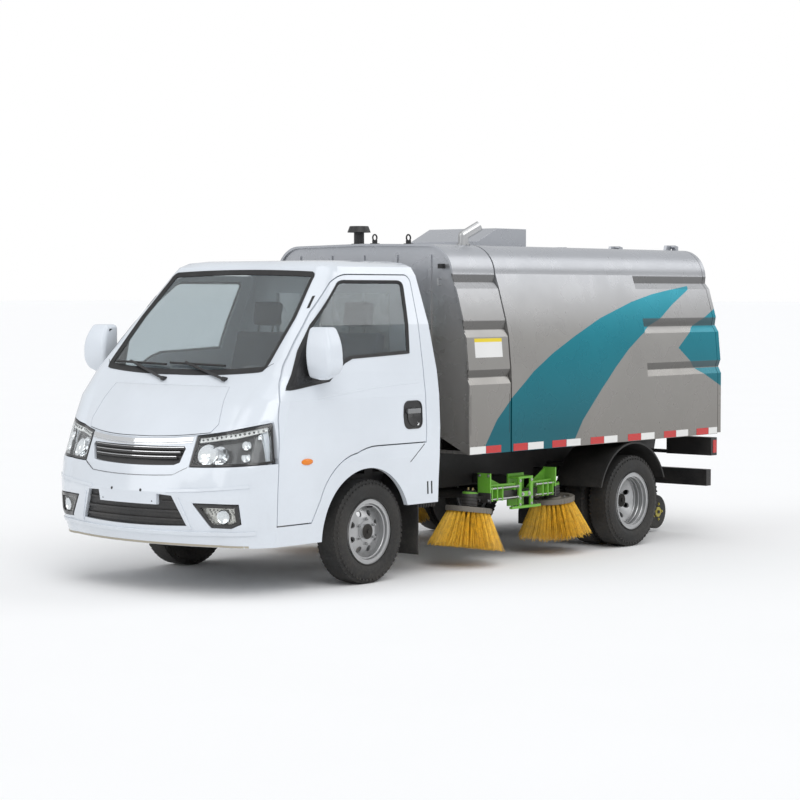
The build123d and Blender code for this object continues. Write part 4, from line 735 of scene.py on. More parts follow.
def fill_bristles(g, i):
    """Tufts of strands that flare from a ring. The ring's axis is Z and the strands point down."""
    seed = i["Seed"]
    index = g.add("GeometryNodeInputIndex")

    def rand(offset):
        """Random value between 0 and 1 for each strand."""
        return g.add("FunctionNodeRandomValue", out=1, data_type="FLOAT",
                     named={"ID": index, "Seed": g.math("ADD", seed, offset)})

    def spread(offset, width):
        """Random value around zero for each strand."""
        return g.times(g.math("SUBTRACT", rand(offset), 0.5), width)

    tuft = g.math("FLOOR", g.times(rand(1), i["Tufts"]))
    share = g.math("DIVIDE", g.math("ADD", tuft, spread(2, 0.55)), i["Tufts"])
    angle = g.times(share, 2 * math.pi)
    depth = rand(3)
    radius = g.span(depth, 0.0, 1.0, i["Inner"], i["Outer"])
    ring = g.combine(g.times(g.math("COSINE", angle), radius), g.times(g.math("SINE", angle), radius), 0.0)
    points = g.add("GeometryNodePoints", i["Count"], ring)
    strand = g.add("GeometryNodeCurvePrimitiveLine", (0, 0, 0), (0, 0, -1))
    profile = g.add("GeometryNodeCurvePrimitiveCircle", named={"Resolution": 3, "Radius": i["Thickness"]})
    solid = g.add("GeometryNodeCurveToMesh", strand, profile, named={"Fill Caps": True})
    lean = g.span(g.math("ADD", depth, spread(4, 0.2)), 0.0, 1.0, i["Lean In"], i["Lean Out"])
    tilt = g.combine(spread(6, 0.19), g.times(lean, -1.0), angle)
    drop = g.times(i["Length"], g.math("SUBTRACT", 1.0, g.times(rand(5), 0.16)))
    size = g.combine(1.0, 1.0, g.math("DIVIDE", drop, g.math("COSINE", lean)))
    turn = g.add("FunctionNodeEulerToRotation", tilt)
    return copies(g, i, Points=points, Instance=solid, Rotation=turn, Scale=size)


TURNED = node_group("Turned copies", (
    ("Count", INTEGER, 6), ("Centre", VECTOR, None), ("Axis", VECTOR, (1, 0, 0))), fill_turned)
ROW = node_group("Row copies", (("Count", INTEGER, 4), ("Step", VECTOR, None)), fill_row)
BRUSH = node_group("Bristles", (
    ("Count", INTEGER, 1500), ("Tufts", FLOAT, 40.0), ("Inner", FLOAT, 0.1), ("Outer", FLOAT, 0.14),
    ("Lean In", FLOAT, 0.2), ("Lean Out", FLOAT, 0.4), ("Length", FLOAT, 0.23), ("Thickness", FLOAT, 0.0012),
    ("Seed", INTEGER, 1)), fill_bristles)


def repeat(build, name, mat, body, tree, matrix=None, smooth=35, **values):
    """Runs a geometry group on the collected shapes and keeps the result as one mesh."""
    holder = put_object(name + "_unit", build.mesh(name + "_unit"))
    maker = holder.modifiers.new("Copies", "NODES")
    maker.node_group = tree
    values["Material"] = mat
    for item in tree.interface.items_tree:
        if item.item_type == "SOCKET" and item.in_out == "INPUT" and item.name in values:
            maker[item.identifier] = values[item.name]
    holder.update_tag()
    result = evaluated_mesh(holder)
    result.name = name
    bpy.data.objects.remove(holder)
    if matrix is not None:
        result.transform(matrix)
    return finish_piece(name, result, mat, body, smooth)


# ---------------------------------------------------------------- surface followers
CAB_TREE = tree_of(*CAB_SKIN, "cab_glass", "front_lamps", "grille_inserts")
DOOR_TREE = tree_of("door_left", "door_glass_left", "mirror_left", "cab_shell")
BODY_TREE = tree_of("hopper_shell", "power_housing")
BOX_TREE = tree_of("side_boxes")


def side_point(y, z, tree=DOOR_TREE):
    """(point, normal) on the left side at (y, z)."""
    return cast(tree, (2.0, y, z), (-1, 0, 0))


def body_point(y, z):
    """(point, normal) on the left side of the sweeper body."""
    return side_point(y, z, BODY_TREE)


def front_point(x, z):
    """(point, normal) on the nose at (x, z)."""
    return cast(CAB_TREE, (x, -3.2, z), (0, 1, 0))


def dense(points, step=0.02, closed=True):
    """2-D path with points every step. A point with four numbers ends an arc through its last two."""
    result = []
    count = len(points)
    for k in range(count if closed else count - 1):
        a = points[k - 1] if closed else points[k]
        b = points[k] if closed else points[k + 1]
        if len(b) == 4:
            c = (b[2], b[3])
            length = math.dist(a[:2], c) + math.dist(c, b[:2])
            n = max(2, round(length / step))
            for m in range(1, n + 1):
                t = m / n
                wa, wc, wb = (1 - t) * (1 - 2 * t), 4 * t * (1 - t), t * (2 * t - 1)
                result.append(tuple(wa * a[i] + wc * c[i] + wb * b[i] for i in (0, 1)))
        else:
            n = max(1, round(math.dist(a[:2], b[:2]) / step))
            result += [tuple(a[i] + (b[i] - a[i]) * m / n for i in (0, 1)) for m in range(1, n + 1)]
    return result


def inward(path):
    """Unit normals of a closed 2-D path that point inwards."""
    count = len(path)
    area = sum(path[k - 1][0] * path[k][1] - path[k][0] * path[k - 1][1] for k in range(count))
    turn = 1 if area > 0 else -1
    result = []
    for k in range(count):
        (ax, ay), (bx, by) = path[k - 1], path[(k + 1) % count]
        size = math.hypot(bx - ax, by - ay) or 1
        result.append((-(by - ay) / size * turn, (bx - ax) / size * turn))
    return result


def gasket(build, outline, find, outside, inside, proud, deep=0.004):
    """Rubber frame over an opening: from outside the outline to inside it, standing proud of the skin."""
    path = dense(outline)
    rows = []
    for (a, b), (na, nb) in zip(path, inward(path)):
        outer = find(a - na * outside, b - nb * outside)
        inner = find(a + na * inside, b + nb * inside)
        if outer is None or inner is None:
            continue
        (p, n), (q, m) = outer, inner
        blend = (n + m).normalized()
        crown = (p + q) / 2 + blend * proud * 1.5
        rows.append([p - n * deep, p + n * proud, crown, q + m * proud * 0.8, q - m * deep])
    build.loft(rows, closed=True)


def strip_on(build, path, find, half, proud, deep=0.003):
    """Narrow band that follows a 2-D path over the skin."""
    rows = []
    for k, (a, b) in enumerate(path):
        (ax, ay), (bx, by) = path[max(k - 1, 0)], path[min(k + 1, len(path) - 1)]
        size = math.hypot(bx - ax, by - ay) or 1
        na, nb = -(by - ay) / size, (bx - ax) / size
        ends = [find(a + na * s, b + nb * s) for s in (-half, half)]
        if None in ends:
            continue
        (p, n), (q, m) = ends
        rows.append([p - n * deep, p + n * proud, q + m * proud, q - m * deep])
    build.loft(rows, closed=False)


def patch_on(build, outline, find, proud, step=0.02, deep=0.0):
    """Thin decal that covers a 2-D outline on the skin."""
    path = dense(outline, step)
    shape = bmesh.new()
    ring = [shape.verts.new((a, b, 0)) for a, b in path]
    face = shape.faces.new(ring)
    bmesh.ops.triangulate(shape, faces=[face])
    low = [min(p[i] for p in path) for i in (0, 1)]
    high = [max(p[i] for p in path) for i in (0, 1)]
    for i in (0, 1):
        cuts = int((high[i] - low[i]) / step)
        for k in range(1, cuts + 1):
            at, along = [0, 0, 0], [0, 0, 0]
            at[i] = low[i] + k * step
            along[i] = 1
            geom = shape.verts[:] + shape.edges[:] + shape.faces[:]
            bmesh.ops.bisect_plane(shape, geom=geom, plane_co=at, plane_no=along)
    bmesh.ops.remove_doubles(shape, verts=shape.verts, dist=0.0003)
    shape.verts.ensure_lookup_table()
    top, under = [], []
    for v in shape.verts:
        found = find(v.co.x, v.co.y)
        if found is None:
            shape.free()
            raise ValueError("decal misses the skin")
        p, n = found
        top.append(p + n * proud)
        under.append(p - n * deep)
    count = len(top)
    faces = []
    for f in shape.faces:
        ids = [v.index for v in f.verts]
        faces.append(ids)
        faces.append([i + count for i in reversed(ids)])
    for e in shape.edges:
        if len(e.link_faces) == 1:
            a, b = e.verts[0].index, e.verts[1].index
            faces.append([a, b, b + count, a + count])
    shape.free()
    build.put(top + under, faces)


def across(half, count):
    """Evenly spaced x from side to side."""
    return [-half + 2 * half * k / count for k in range(count + 1)]


def arched(half, count, z, rise=0.0, reach=1.0):
    """Path across the nose that is z high in the middle and rises by rise at reach."""
    return [(x, z + rise * (x / reach) ** 2) for x in across(half, count)]


def seam_on(build, points, find, half, proud, step=0.02, deep=0.003, side=1):
    """Band along an open path of corner points, on the left, or on the right with side -1."""
    path = dense([(a * side, b) for a, b in points], step, closed=False)
    strip_on(build, path, find, half, proud, deep)


# ---------------------------------------------------------------- cab skin
# nodes, angle in degrees up to which the shading is soft, width of the eased edges
SOFTENED = (
    (CAB_SKIN, 24, 0.0015), (pairs("mirror"), 40, 0.001), (TANK, 6, 0.0), (("fan_hood",), 12, 0.002),
    (("exhaust_pipe",), 40, 0.0), (("intake_cap",), 30, 0.002),
)
for names, angle, bevel in SOFTENED:
    for node_name in names:
        softened = rounded(node_name, angle, bevel)
        if node_name in TANK:
            smooth_wall(softened)

WINDSCREEN = [
    (-0.655, 1.345), (-0.625, 1.292, -0.650, 1.303), (0, 1.268, -0.320, 1.272), (0.625, 1.292, 0.320, 1.272),
    (0.655, 1.345, 0.650, 1.303), (0.640, 1.594), (0.592, 1.815), (0.545, 1.858, 0.582, 1.850),
    (0, 1.870, 0.280, 1.867), (-0.545, 1.858, -0.280, 1.867), (-0.592, 1.815, -0.582, 1.850), (-0.640, 1.594),
]
# y from the front axle, z
WINDOW_SHAPE = [
    (0.374, 1.378), (0.427, 1.634), (0.452, 1.770), (0.405, 1.812, 0.446, 1.802), (-0.084, 1.812),
    (-0.160, 1.782, -0.128, 1.804), (-0.440, 1.550), (-0.578, 1.401), (-0.737, 1.186), (-0.388, 1.229),
    (-0.230, 1.332, -0.300, 1.290), (-0.155, 1.357),
]


DIVIDER_Y = FRONT_AXLE_Y - 0.450
# rear face of a mirror: x, z
MIRROR_FACE = [
    (0.880, 1.322), (0.876, 1.500, 0.877, 1.400), (0.890, 1.514, 0.878, 1.512), (0.968, 1.514),
    (0.984, 1.500, 0.982, 1.512), (1.008, 1.380, 0.997, 1.455), (0.990, 1.318, 1.006, 1.335),
    (0.935, 1.296, 0.965, 1.299), (0.892, 1.300),
]


def from_axle(points):
    """Points with y from the front axle, in the truck's own y."""
    return [tuple(v + FRONT_AXLE_Y if k % 2 == 0 else v for k, v in enumerate(p)) for p in points]


def both_doors(build, label, mat, bevel=0.0):
    """The left door's shapes, and the same turned over for the right door."""
    for name, side in SIDES:
        copy = Build()
        copy.put([(x * side, y, z) for x, y, z in build.verts], build.faces)
        copy.done(label + "_" + name, mat, name + "_door", bevel=bevel)


def build_seals():
    """Rubber round the windscreen and the door windows."""
    rubber = Build()
    gasket(rubber, WINDSCREEN, front_point, 0.010, 0.020, 0.004)
    rubber.done("windscreen_rubber", RUBBER)
    edge = Build()
    gasket(edge, from_axle(WINDOW_SHAPE), side_point, 0.006, 0.014, 0.003)
    strip_on(edge, [(DIVIDER_Y, z) for z in (1.225, 1.28, 1.34, 1.40, 1.46, 1.53)], side_point, 0.008, 0.004)
    both_doors(edge, "window_rubber", RUBBER)


def build_mirror_glass():
    """Glass on the rear face of each mirror head."""
    head = NODES["mirror_left"].data
    tree = BVHTree.FromPolygons([v.co for v in head.vertices], [list(p.vertices) for p in head.polygons])
    glass_face = Build()
    patch_on(glass_face, MIRROR_FACE, lambda x, z: cast(tree, (x, -1.0, z), (0, -1, 0)), 0.0015, deep=0.002)
    both_doors(glass_face, "mirror_glass", MIRROR)


def build_handles():
    """Door handles and locks in their pockets."""
    # the handle's pocket: its edges, the radius of its corners and their rise
    y0, y1, z0, z1, r, m = -1.018, -0.853, 0.920, 1.084, 0.040, 0.012
    shape = [(y0 + r, z0), (y1 - r, z0), (y1, z0 + r, y1 - m, z0 + m),
             (y1, z1 - r), (y1 - r, z1, y1 - m, z1 - m),
             (y0 + r, z1), (y0, z1 - r, y0 + m, z1 - m),
             (y0 - 0.004, z0 + 0.08), (y0, z0 + r), (y0 + r, z0, y0 + m, z0 + m)]
    skin, out = side_point((y0 + y1) / 2, (z0 + z1) / 2)
    pocket = Build()
    patch_on(pocket, shape, side_point, 0.0012, 0.02, 0.004)
    rim = [side_point(*p) for p in dense(shape, 0.008)]
    pocket.tube([p + n * 0.0015 for p, n in rim], 0.0045, 8, closed=True)
    both_doors(pocket, "handle_pocket", PLASTIC)
    dish = Build()
    hollow = [(0.0015 + 0.004 * t * t, 0.058 * t) for t in BOWL_STEPS]
    dish.lathe(hollow + [(0.0, 0.060), (0.0, 0.0)], skin + Vector((0, 0.004, -0.012)), out, 48)
    both_doors(dish, "handle_dish", BEZEL)
    bar = Build()
    x = skin.x
    bar.box((x + 0.006, y0 + 0.018, 1.010), (x + 0.018, y1 - 0.026, 1.040))
    for y in (y0 + 0.020, y1 - 0.040):
        bar.box((x - 0.004, y, 1.014), (x + 0.008, y + 0.012, 1.036))
    both_doors(bar, "door_handle", HANDLE, 0.004)
    lock = Build()
    lock.disc((x - 0.002, y1 - 0.040, 0.946), (x + 0.006, y1 - 0.040, 0.946), 0.011, 24)
    both_doors(lock, "door_lock", CHROME, 0.001)


MARKER_DOME = [(0.0, 0.030), (0.004, 0.0295), (0.009, 0.022), (0.011, 0.010), (0.011, 0.0), (-0.004, 0.0),
               (-0.004, 0.030)]


def build_door_trim():
    """Side markers, creases, skirt slots and short seams."""
    marker = Build()
    p, n = side_point(FRONT_AXLE_Y - 0.601, 0.768)
    marker.lathe(MARKER_DOME, p, n, 32)
    marker.verts = [(x, p.y + (y - p.y) * 1.60, p.z + (z - p.z) * 0.62) for x, y, z in marker.verts]
    both_doors(marker, "side_marker", AMBER)
    creases = Build()
    line = from_axle([(-0.55, 1.125), (-0.30, 1.150), (0.0, 1.178), (0.22, 1.192), (0.44, 1.20)])
    seam_on(creases, line, side_point, 0.007, 0.0012, 0.05, 0.004)
    both_doors(creases, "door_crease", CAB_WHITE, 0.001)
    slots = Build()
    for y in (FRONT_AXLE_Y + 0.505, FRONT_AXLE_Y + 0.543):
        strip_on(slots, [(y + 0.006, 0.508), (y + 0.003, 0.547), (y, 0.586)], side_point, 0.006, 0.0012)
    slots.done("skirt_slots", RUBBER, mirrored=True)
    seam = Build()
    seam_on(seam, from_axle([(0.310, 0.697), (0.464, 0.819)]), side_point, 0.0025, 0.0006, 0.03)
    seam_on(seam, [(0.662, 1.748), (0.671, 1.700), (0.681, 1.652)], front_point, 0.006, 0.0015)
    seam.done("skirt_seam", RUBBER, mirrored=True)


# ---------------------------------------------------------------- lamps
LAMP_TREE = tree_of("front_lamps")
# unit directions across a headlamp and into it
LAMP_ACROSS = Vector((0.8, 0.6, 0))
LAMP_INTO = Vector((-0.6, 0.8, 0))
# headlamp: along LAMP_ACROSS, z. Fog lamp: x, z
HEADLAMP = [(-1.104, 0.752, -0.879, 0.758), (-1.060, 0.921), (-0.624, 0.998, -0.842, 0.955), (-0.608, 0.777)]
FOG_SHAPE = [(0.482, 0.541), (0.740, 0.541), (0.746, 0.432), (0.697, 0.409), (0.584, 0.409)]
FOG_LENS = [(0.515, 0.522), (0.722, 0.522), (0.728, 0.440), (0.690, 0.428), (0.598, 0.428)]
LIGHT_STRIP = [(-1.050, 0.886), (-1.044, 0.912), (-0.842, 0.942), (-0.650, 0.980), (-0.650, 0.956),
               (-0.842, 0.916)]
# reflectors: place on the headlamp, radius, depth, distance behind the lens
REFLECTORS = (
    (-1.000, 0.822, 0.062, 0.032, 0.044), (-0.930, 0.818, 0.056, 0.032, 0.044),
    (-0.770, 0.880, 0.026, 0.016, 0.034), (-0.770, 0.812, 0.026, 0.016, 0.034),
    (-0.690, 0.925, 0.014, 0.010, 0.030),
)
DOT_PITCH = 0.0275


def lamp_point(a, z):
    """(point, normal) on the headlamp seen from its own slanted direction."""
    start = LAMP_ACROSS * a - LAMP_INTO * 3.5
    return cast(LAMP_TREE, (start.x, start.y, z), LAMP_INTO)


def bowl(build, found, radius, depth, back):
    """Reflector that opens along the skin's normal."""
    p, n = found
    inner = [(depth * t * t, radius * t) for t in BOWL_STEPS]
    outer = [(depth * t * t - 0.003, radius * t + 0.002 * t) for t in reversed(BOWL_STEPS)]
    build.lathe(inner + outer, p - n * back, n, 40)


def build_lamps():
    """Headlamps and fog lamps: rims, reflectors, light strip and lenses."""
    rims, plate, mirrors, strip, lens, dots, fog_back = (Build() for _ in range(7))
    gasket(rims, HEADLAMP, lamp_point, 0.0, 0.012, 0.0, deep=0.05)
    patch_on(plate, HEADLAMP, lamp_point, -0.046, 0.03, 0.052)
    for a, z, radius, depth, back in REFLECTORS:
        p, n = lamp_point(a, z)
        bowl(mirrors, (p, n), radius, depth, back)
        mirrors.disc(p - n * back, p - n * (back - depth * 0.7), radius * 0.16, 20)
    patch_on(strip, LIGHT_STRIP, lamp_point, -0.010, 0.03, 0.02)
    for k in range(14):
        p, n = lamp_point(-1.03 + k * DOT_PITCH, 0.901 + (k * DOT_PITCH) * 0.150 + 0.00045 * k)
        dots.disc(p - n * 0.011, p - n * 0.007, 0.0065, 12)
    patch_on(lens, HEADLAMP, lamp_point, -0.0005, 0.025, 0.0035)
    gasket(rims, FOG_SHAPE, front_point, 0.0, 0.020, 0.005, deep=0.03)
    patch_on(fog_back, FOG_SHAPE, front_point, -0.022, 0.03, 0.030)
    bowl(mirrors, front_point(0.655, 0.470), 0.040, 0.014, 0.020)
    for row in range(3):
        for k in range(7):
            p, n = front_point(0.572 + k * 0.022 + row * 0.006, 0.506 - row * 0.011)
            dots.disc(p - n * 0.0225, p - n * 0.019, 0.0042, 10)
    patch_on(lens, FOG_LENS, front_point, -0.004, 0.025, 0.008)
    rims.done("lamp_rims", BEZEL, mirrored=True, bevel=0.001)
    back = plate.done("lamp_backs", BEZEL, mirrored=True)
    fog_back.done("fog_reflectors", PEARL, mirrored=True)
    mirrors.done("lamp_reflectors", CHROME, mirrored=True)
    strip.done("lamp_light_strip", WHITE_TAPE, mirrored=True, slot="lamp_black")
    dots.done("lamp_light_dots", BEZEL, mirrored=True)
    lens.done("lamp_lenses", LENS, mirrored=True)
    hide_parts("front_lamps")


# ---------------------------------------------------------------- nose
SLAT_Z = (0.838, 0.812, 0.786)
PLATE_HALF = 0.25
# x, z of the creases of the bumper
BUMPER_TOP = ((0.262, 0.606), (0.36, 0.612), (0.52, 0.620), (0.66, 0.632), (0.79, 0.645))
BUMPER_SIDE = ((0.372, 0.598), (0.405, 0.52), (0.438, 0.44), (0.452, 0.392))


def build_grille():
    """Bar and slats with bright edges."""
    bar = Build()
    for low, high, proud in ((0.876, 0.900, 0.007), (0.866, 0.874, 0.003)):
        middle, half = (low + high) / 2, (high - low) / 2
        strip_on(bar, arched(0.415, 40, middle - 0.004, 0.020, 0.415), front_point, half, proud, 0.006)
    bar.done("grille_bar", CHROME, smooth=40, bevel=0.002)
    slats, shine = Build(), Build()
    for k, z in enumerate(SLAT_Z):
        narrower = 0.018 * k
        strip_on(slats, arched(0.372 - narrower, 36, z, 0.006, 0.37), front_point, 0.0065, 0.018, 0.004)
        edge = arched(0.366 - narrower, 36, z + 0.0065, 0.006, 0.37)
        strip_on(shine, edge, front_point, 0.0016, 0.0195, 0.004)
    upper = arched(0.352, 30, 0.547)
    for end in ([p for p in upper if p[0] < -PLATE_HALF], [p for p in upper if p[0] > PLATE_HALF]):
        strip_on(slats, end, front_point, 0.006, 0.012, 0.004)
    for half, z in ((0.376, 0.492), (0.400, 0.444)):
        strip_on(slats, arched(half, 30, z), front_point, 0.0065, 0.014, 0.004)
    slats.done("grille_slats", PLASTIC, bevel=0.0015)
    shine.done("slat_edges", CHROME)


def build_bumper():
    """Plate holes, grille seam, bumper creases and underside, and short seams beside the windscreen."""
    holes = Build()
    for x, z, proud, radius, sides in ((-0.115, 0.606, 0.0012, 0.0085, 24),
                                       (0.125, 0.606, 0.0012, 0.0085, 24),
                                       (-0.205, 0.545, 0.001, 0.004, 16), (0.205, 0.545, 0.001, 0.004, 16)):
        p, n = front_point(x, z)
        holes.disc(p - n * 0.002, p + n * proud, radius, sides)
    holes.done("plate_holes", RUBBER)
    crease, seams = Build(), Build()
    for _, side in SIDES:
        seam_on(crease, BUMPER_TOP, front_point, 0.009, 0.006, 0.04, 0.004, side)
        seam_on(crease, BUMPER_SIDE, front_point, 0.008, 0.005, 0.03, 0.004, side)
        seam_on(seams, ((0.708, 1.343), (0.680, 1.325), (0.662, 1.310)), front_point, 0.0015, 0.0006,
                side=side)
    strip_on(crease, arched(0.80, 40, 0.366, 0.012, 0.8), front_point, 0.011, 0.009, 0.004)
    edge = Build()
    seam_line = [(0.424, 0.744), (0.335, 0.700), (-0.335, 0.700, 0, 0.690), (-0.424, 0.744)]
    strip_on(edge, [(0.424, 0.744)] + dense(seam_line, 0.02, closed=False), front_point, 0.0022, 0.0006)
    edge.done("grille_seam", RUBBER)
    crease.done("bumper_creases", CAB_WHITE, bevel=0.0015)
    under = Build()
    strip_on(under, arched(0.76, 38, 0.298), front_point, 0.006, 0.0012, 0.004)
    under.done("bumper_underside", BEIGE)
    seams.done("pillar_seams", RUBBER)


# ---------------------------------------------------------------- body sides
HOPPER_FRONT_Y = 0.02
TAPE_X = 0.890
# y from, y to, colour
TAPES = (
    (-0.412, -0.250, "white"), (-0.246, -0.092, "red"), (0.038, 0.190, "red"), (0.194, 0.361, "white"),
    (0.459, 0.614, "red"), (0.618, 0.775, "white"), (0.891, 1.045, "red"), (1.049, 1.205, "white"),
    (1.332, 1.488, "red"), (1.492, 1.656, "white"), (1.776, 1.927, "red"), (1.931, 2.083, "white"),
    (2.194, 2.350, "red"), (2.354, 2.466, "white"),
)


def build_tapes():
    """Red and white reflecting tape along the lower edge."""
    for body in (CHASSIS, "hopper"):
        for colour, mat in (("red", RED), ("white", WHITE_TAPE)):
            tapes = Build()
            for low, high, kind in TAPES:
                if kind == colour and (high < HOPPER_FRONT_Y) == (body == CHASSIS):
                    tapes.box((TAPE_X - 0.002, low, 0.730), (TAPE_X + 0.0012, high, 0.776))
            tapes.done(f"tape_{colour}_{body}", mat, body, mirrored=True, slot="body_paint")


# ---------------------------------------------------------------- roof and body fittings
def lug(build, x, y, z, height):
    """Lifting lug: a rounded plate with an eye."""
    ring = [(x, y + 0.020 * c, z + height - 0.022 + 0.020 * s) for c, s in round_points(24)]
    build.tube(ring, 0.0055, 8, closed=True)
    build.box((x - 0.004, y - 0.022, z - 0.006), (x + 0.004, y + 0.022, z + height - 0.036))
    build.box((x - 0.016, y - 0.030, z - 0.006), (x + 0.016, y + 0.030, z + 0.004))


def build_body_fittings():
    """Lifting lugs and the seams of the housing."""
    lugs = Build()
    for x, z in ((0.062, 2.059), (0.346, 2.054)):
        lug(lugs, x, -0.36, z, 0.062)
    lugs.box((0.655, -0.445, 1.895), (0.690, -0.412, 1.925))
    lugs.done("lifting_lugs", FRAME_BLACK, bevel=0.001)
    seams = Build()
    for y in (-0.402, -0.004):
        seam_on(seams, ((y, 0.80), (y, 0.95), (y, 1.10)), body_point, 0.0015, 0.0004, 0.05)
    seams.done("housing_seams", RUBBER, mirrored=True)


# ---------------------------------------------------------------- wheels
TYRE_MIDDLE = 0.073     # from the wheel's outer face to the middle of its outer tyre
TWIN_PITCH = 0.205
TREAD_R = 0.3075
TREAD_COUNT = 58
# rows of the tread: place across the tyre, width, turn of the block
TREAD_ROWS = ((-0.056, 0.022, 0.25), (-0.029, 0.022, -0.2), (0.0, 0.020, 0.2), (0.029, 0.022, -0.2),
              (0.056, 0.022, 0.25))
ROW_TURN = 0.031
# ribs on the shoulders: place across the tyre, height over the axis, lean
RIB_X, RIB_R, RIB_LEAN = 0.0772, 0.2825, 0.42
# rings on the side walls: half width, radius of the foot and of the crest, place across the tyre
WALL_RINGS = ((0.002, 0.1955, 0.202, 0.0800), (0.0025, 0.2435, 0.247, 0.0862))
NUT_CIRCLE_R = 0.074
# x and radius of the steps of a rim
FRONT_STEPS = ((0.815, 0.1745), (0.800, 0.1600))
TWIN_STEPS = ((0.874, 0.1745), (0.852, 0.1655), (0.822, 0.1600), (0.792, 0.1560))
HUB_PROFILE = [(-0.004, 0.0), (-0.004, 0.046), (0.001, 0.046), (0.003, 0.043), (0.003, 0.030), (0.006, 0.028),
               (0.006, 0.0)]


def turned(build, name, mat, body, count, y):
    """Copies of the collected shapes round the wheel's axis."""
    repeat(build, name, mat, body, TURNED, Count=count, Centre=(0, y, WHEEL_Z), Axis=(1, 0, 0))


def build_wheel(name, body, x_face, y, side, twin):
    """Tread blocks, wheel bolts and valve of one wheel."""
    centres = [x_face - TYRE_MIDDLE - k * TWIN_PITCH for k in range(2 if twin else 1)]
    # nut face and hub face
    nut_x, hub_x = (x_face - 0.1515, x_face - 0.0895) if twin else (x_face - 0.030, x_face - 0.012)

    def at(x, dy=0.0, dz=0.0):
        """Point of the wheel by its x and its offset from the axis."""
        return side * x, y + dy, WHEEL_Z + dz

    tread, ribs, rings = Build(), Build(), Build()
    for centre in centres:
        for row, (offset, wide, turn) in enumerate(TREAD_ROWS):
            block = Matrix.Translation(at(centre + offset, dz=TREAD_R)) @ Matrix.Rotation(turn, 4, "Z")
            roll = (Matrix.Translation((0, y, WHEEL_Z)) @ Matrix.Rotation(row * ROW_TURN, 4, "X")
                    @ Matrix.Translation((0, -y, -WHEEL_Z)))
            tread.box((-wide / 2, -0.013, -0.008), (wide / 2, 0.013, 0.0045), roll @ block)
        for s in (-1, 1):
            lean = Matrix.Rotation(s * side * RIB_LEAN, 4, "Y")
            rib = Matrix.Translation(at(centre + s * RIB_X, dz=RIB_R)) @ lean
            ribs.box((-0.0035, -0.0065, -0.014), (0.0035, 0.0065, 0.014), rib)
            for half, foot, crest, offset in WALL_RINGS:
                ring = [(-half, foot), (0.0, crest), (half, foot)]
                rings.lathe(ring, at(centre + s * offset), (1, 0, 0), 96)
    turned(tread, "tread_" + name, TYRE, body, TREAD_COUNT, y)
    turned(ribs, "shoulder_" + name, TYRE, body, TREAD_COUNT, y)
    nut = Build()
    nut.bolt(at(nut_x + 0.0005, dz=NUT_CIRCLE_R), (side, 0, 0), 0.0105, 0.018)
    nut.disc(at(nut_x, dz=NUT_CIRCLE_R), at(nut_x + 0.028, dz=NUT_CIRCLE_R), 0.005, 12)
    turned(nut, "nuts_" + name, STEEL, body, 6, y)
    hub = Build()
    hub.lathe(HUB_PROFILE, at(hub_x), (side, 0, 0), 48)
    hub.bolt(at(hub_x + 0.005), (side, 0, 0), 0.014, 0.012)
    hub.done("hub_" + name, IRON, body, bevel=0.0008)
    trim = Build()
    for step_x, r in TWIN_STEPS if twin else FRONT_STEPS:
        ring = [(-0.003, r + 0.003), (-0.002, r - 0.0035), (0.0, r - 0.005), (0.002, r - 0.0035),
                (0.003, r + 0.003)]
        trim.lathe(ring, at(step_x - 0.002), (1, 0, 0), 96)
    trim.done("rim_steps_" + name, STEEL, body, slot="wheel_silver")
    rings.done("tyre_rings_" + name, TYRE, body)
    stem = Build()
    stem.tube([at(nut_x - 0.02, 0.04, 0.142), at(nut_x + 0.020, 0.044, 0.146)], 0.0045, 10)
    stem.done("valve_" + name, RUBBER, body)


CASTER_X, CASTER_Y, CASTER_Z = 0.482, 2.310, 0.147


def build_wheels():
    """The four wheel sets and the caps of the casters."""
    for axle, suffix, x_face, y, twin in (("front", "wheel", 0.815, FRONT_AXLE_Y, False),
                                          ("rear", "wheels", 0.874, REAR_AXLE_Y, True)):
        for hand, side in SIDES:
            build_wheel(f"{axle}_{hand}", f"{axle}_{hand}_{suffix}", x_face, y, side, twin)
    caps = Build()
    for _, side in SIDES:
        x = CASTER_X * side
        caps.disc((x, CASTER_Y, CASTER_Z), (x + 0.010 * side, CASTER_Y, CASTER_Z), 0.036, 32)
        for c, s in round_points(5):
            caps.bolt((x, CASTER_Y + 0.058 * c, CASTER_Z + 0.058 * s), (side, 0, 0), 0.007, 0.008)
    caps.done("caster_caps", OLIVE, "caster_wheels")


# ---------------------------------------------------------------- brushes
BRUSH_X = 0.700
# arm, y of the axis, z of the plate's underside, tilt in degrees
BRUSHES = {"front": (FRONT_AXLE_Y + 1.105, 0.342, 8.0), "rear": (FRONT_AXLE_Y + 2.012, 0.348, -6.0)}
BRUSH_SEEDS = {"front_left": 11, "front_right": 16, "rear_left": 23, "rear_right": 28}
BRISTLES = {"Count": 2600, "Tufts": 28.0, "Inner": 0.078, "Outer": 0.138, "Thickness": 0.0012,
            "Length": 0.233, "Lean In": 0.22, "Lean Out": 0.462}
CLAMPS, PLATE_BOLTS = 38, 6
PLATE_PROFILE = [(0.0, 0.0166), (0.0, 0.147), (0.004, 0.148), (0.030, 0.148), (0.034, 0.144), (0.034, 0.118),
                 (0.020, 0.112), (0.020, 0.062), (0.034, 0.056), (0.034, 0.0166)]


def brush_frame(arm, side):
    """Matrix of a brush's plate and the direction of its axis."""
    y, z, tilt = BRUSHES[arm]
    matrix = Matrix.Translation((side * BRUSH_X, y, z)) @ Matrix.Rotation(math.radians(-tilt), 4, "X")
    return matrix, matrix.to_3x3() @ Vector((0, 0, 1))


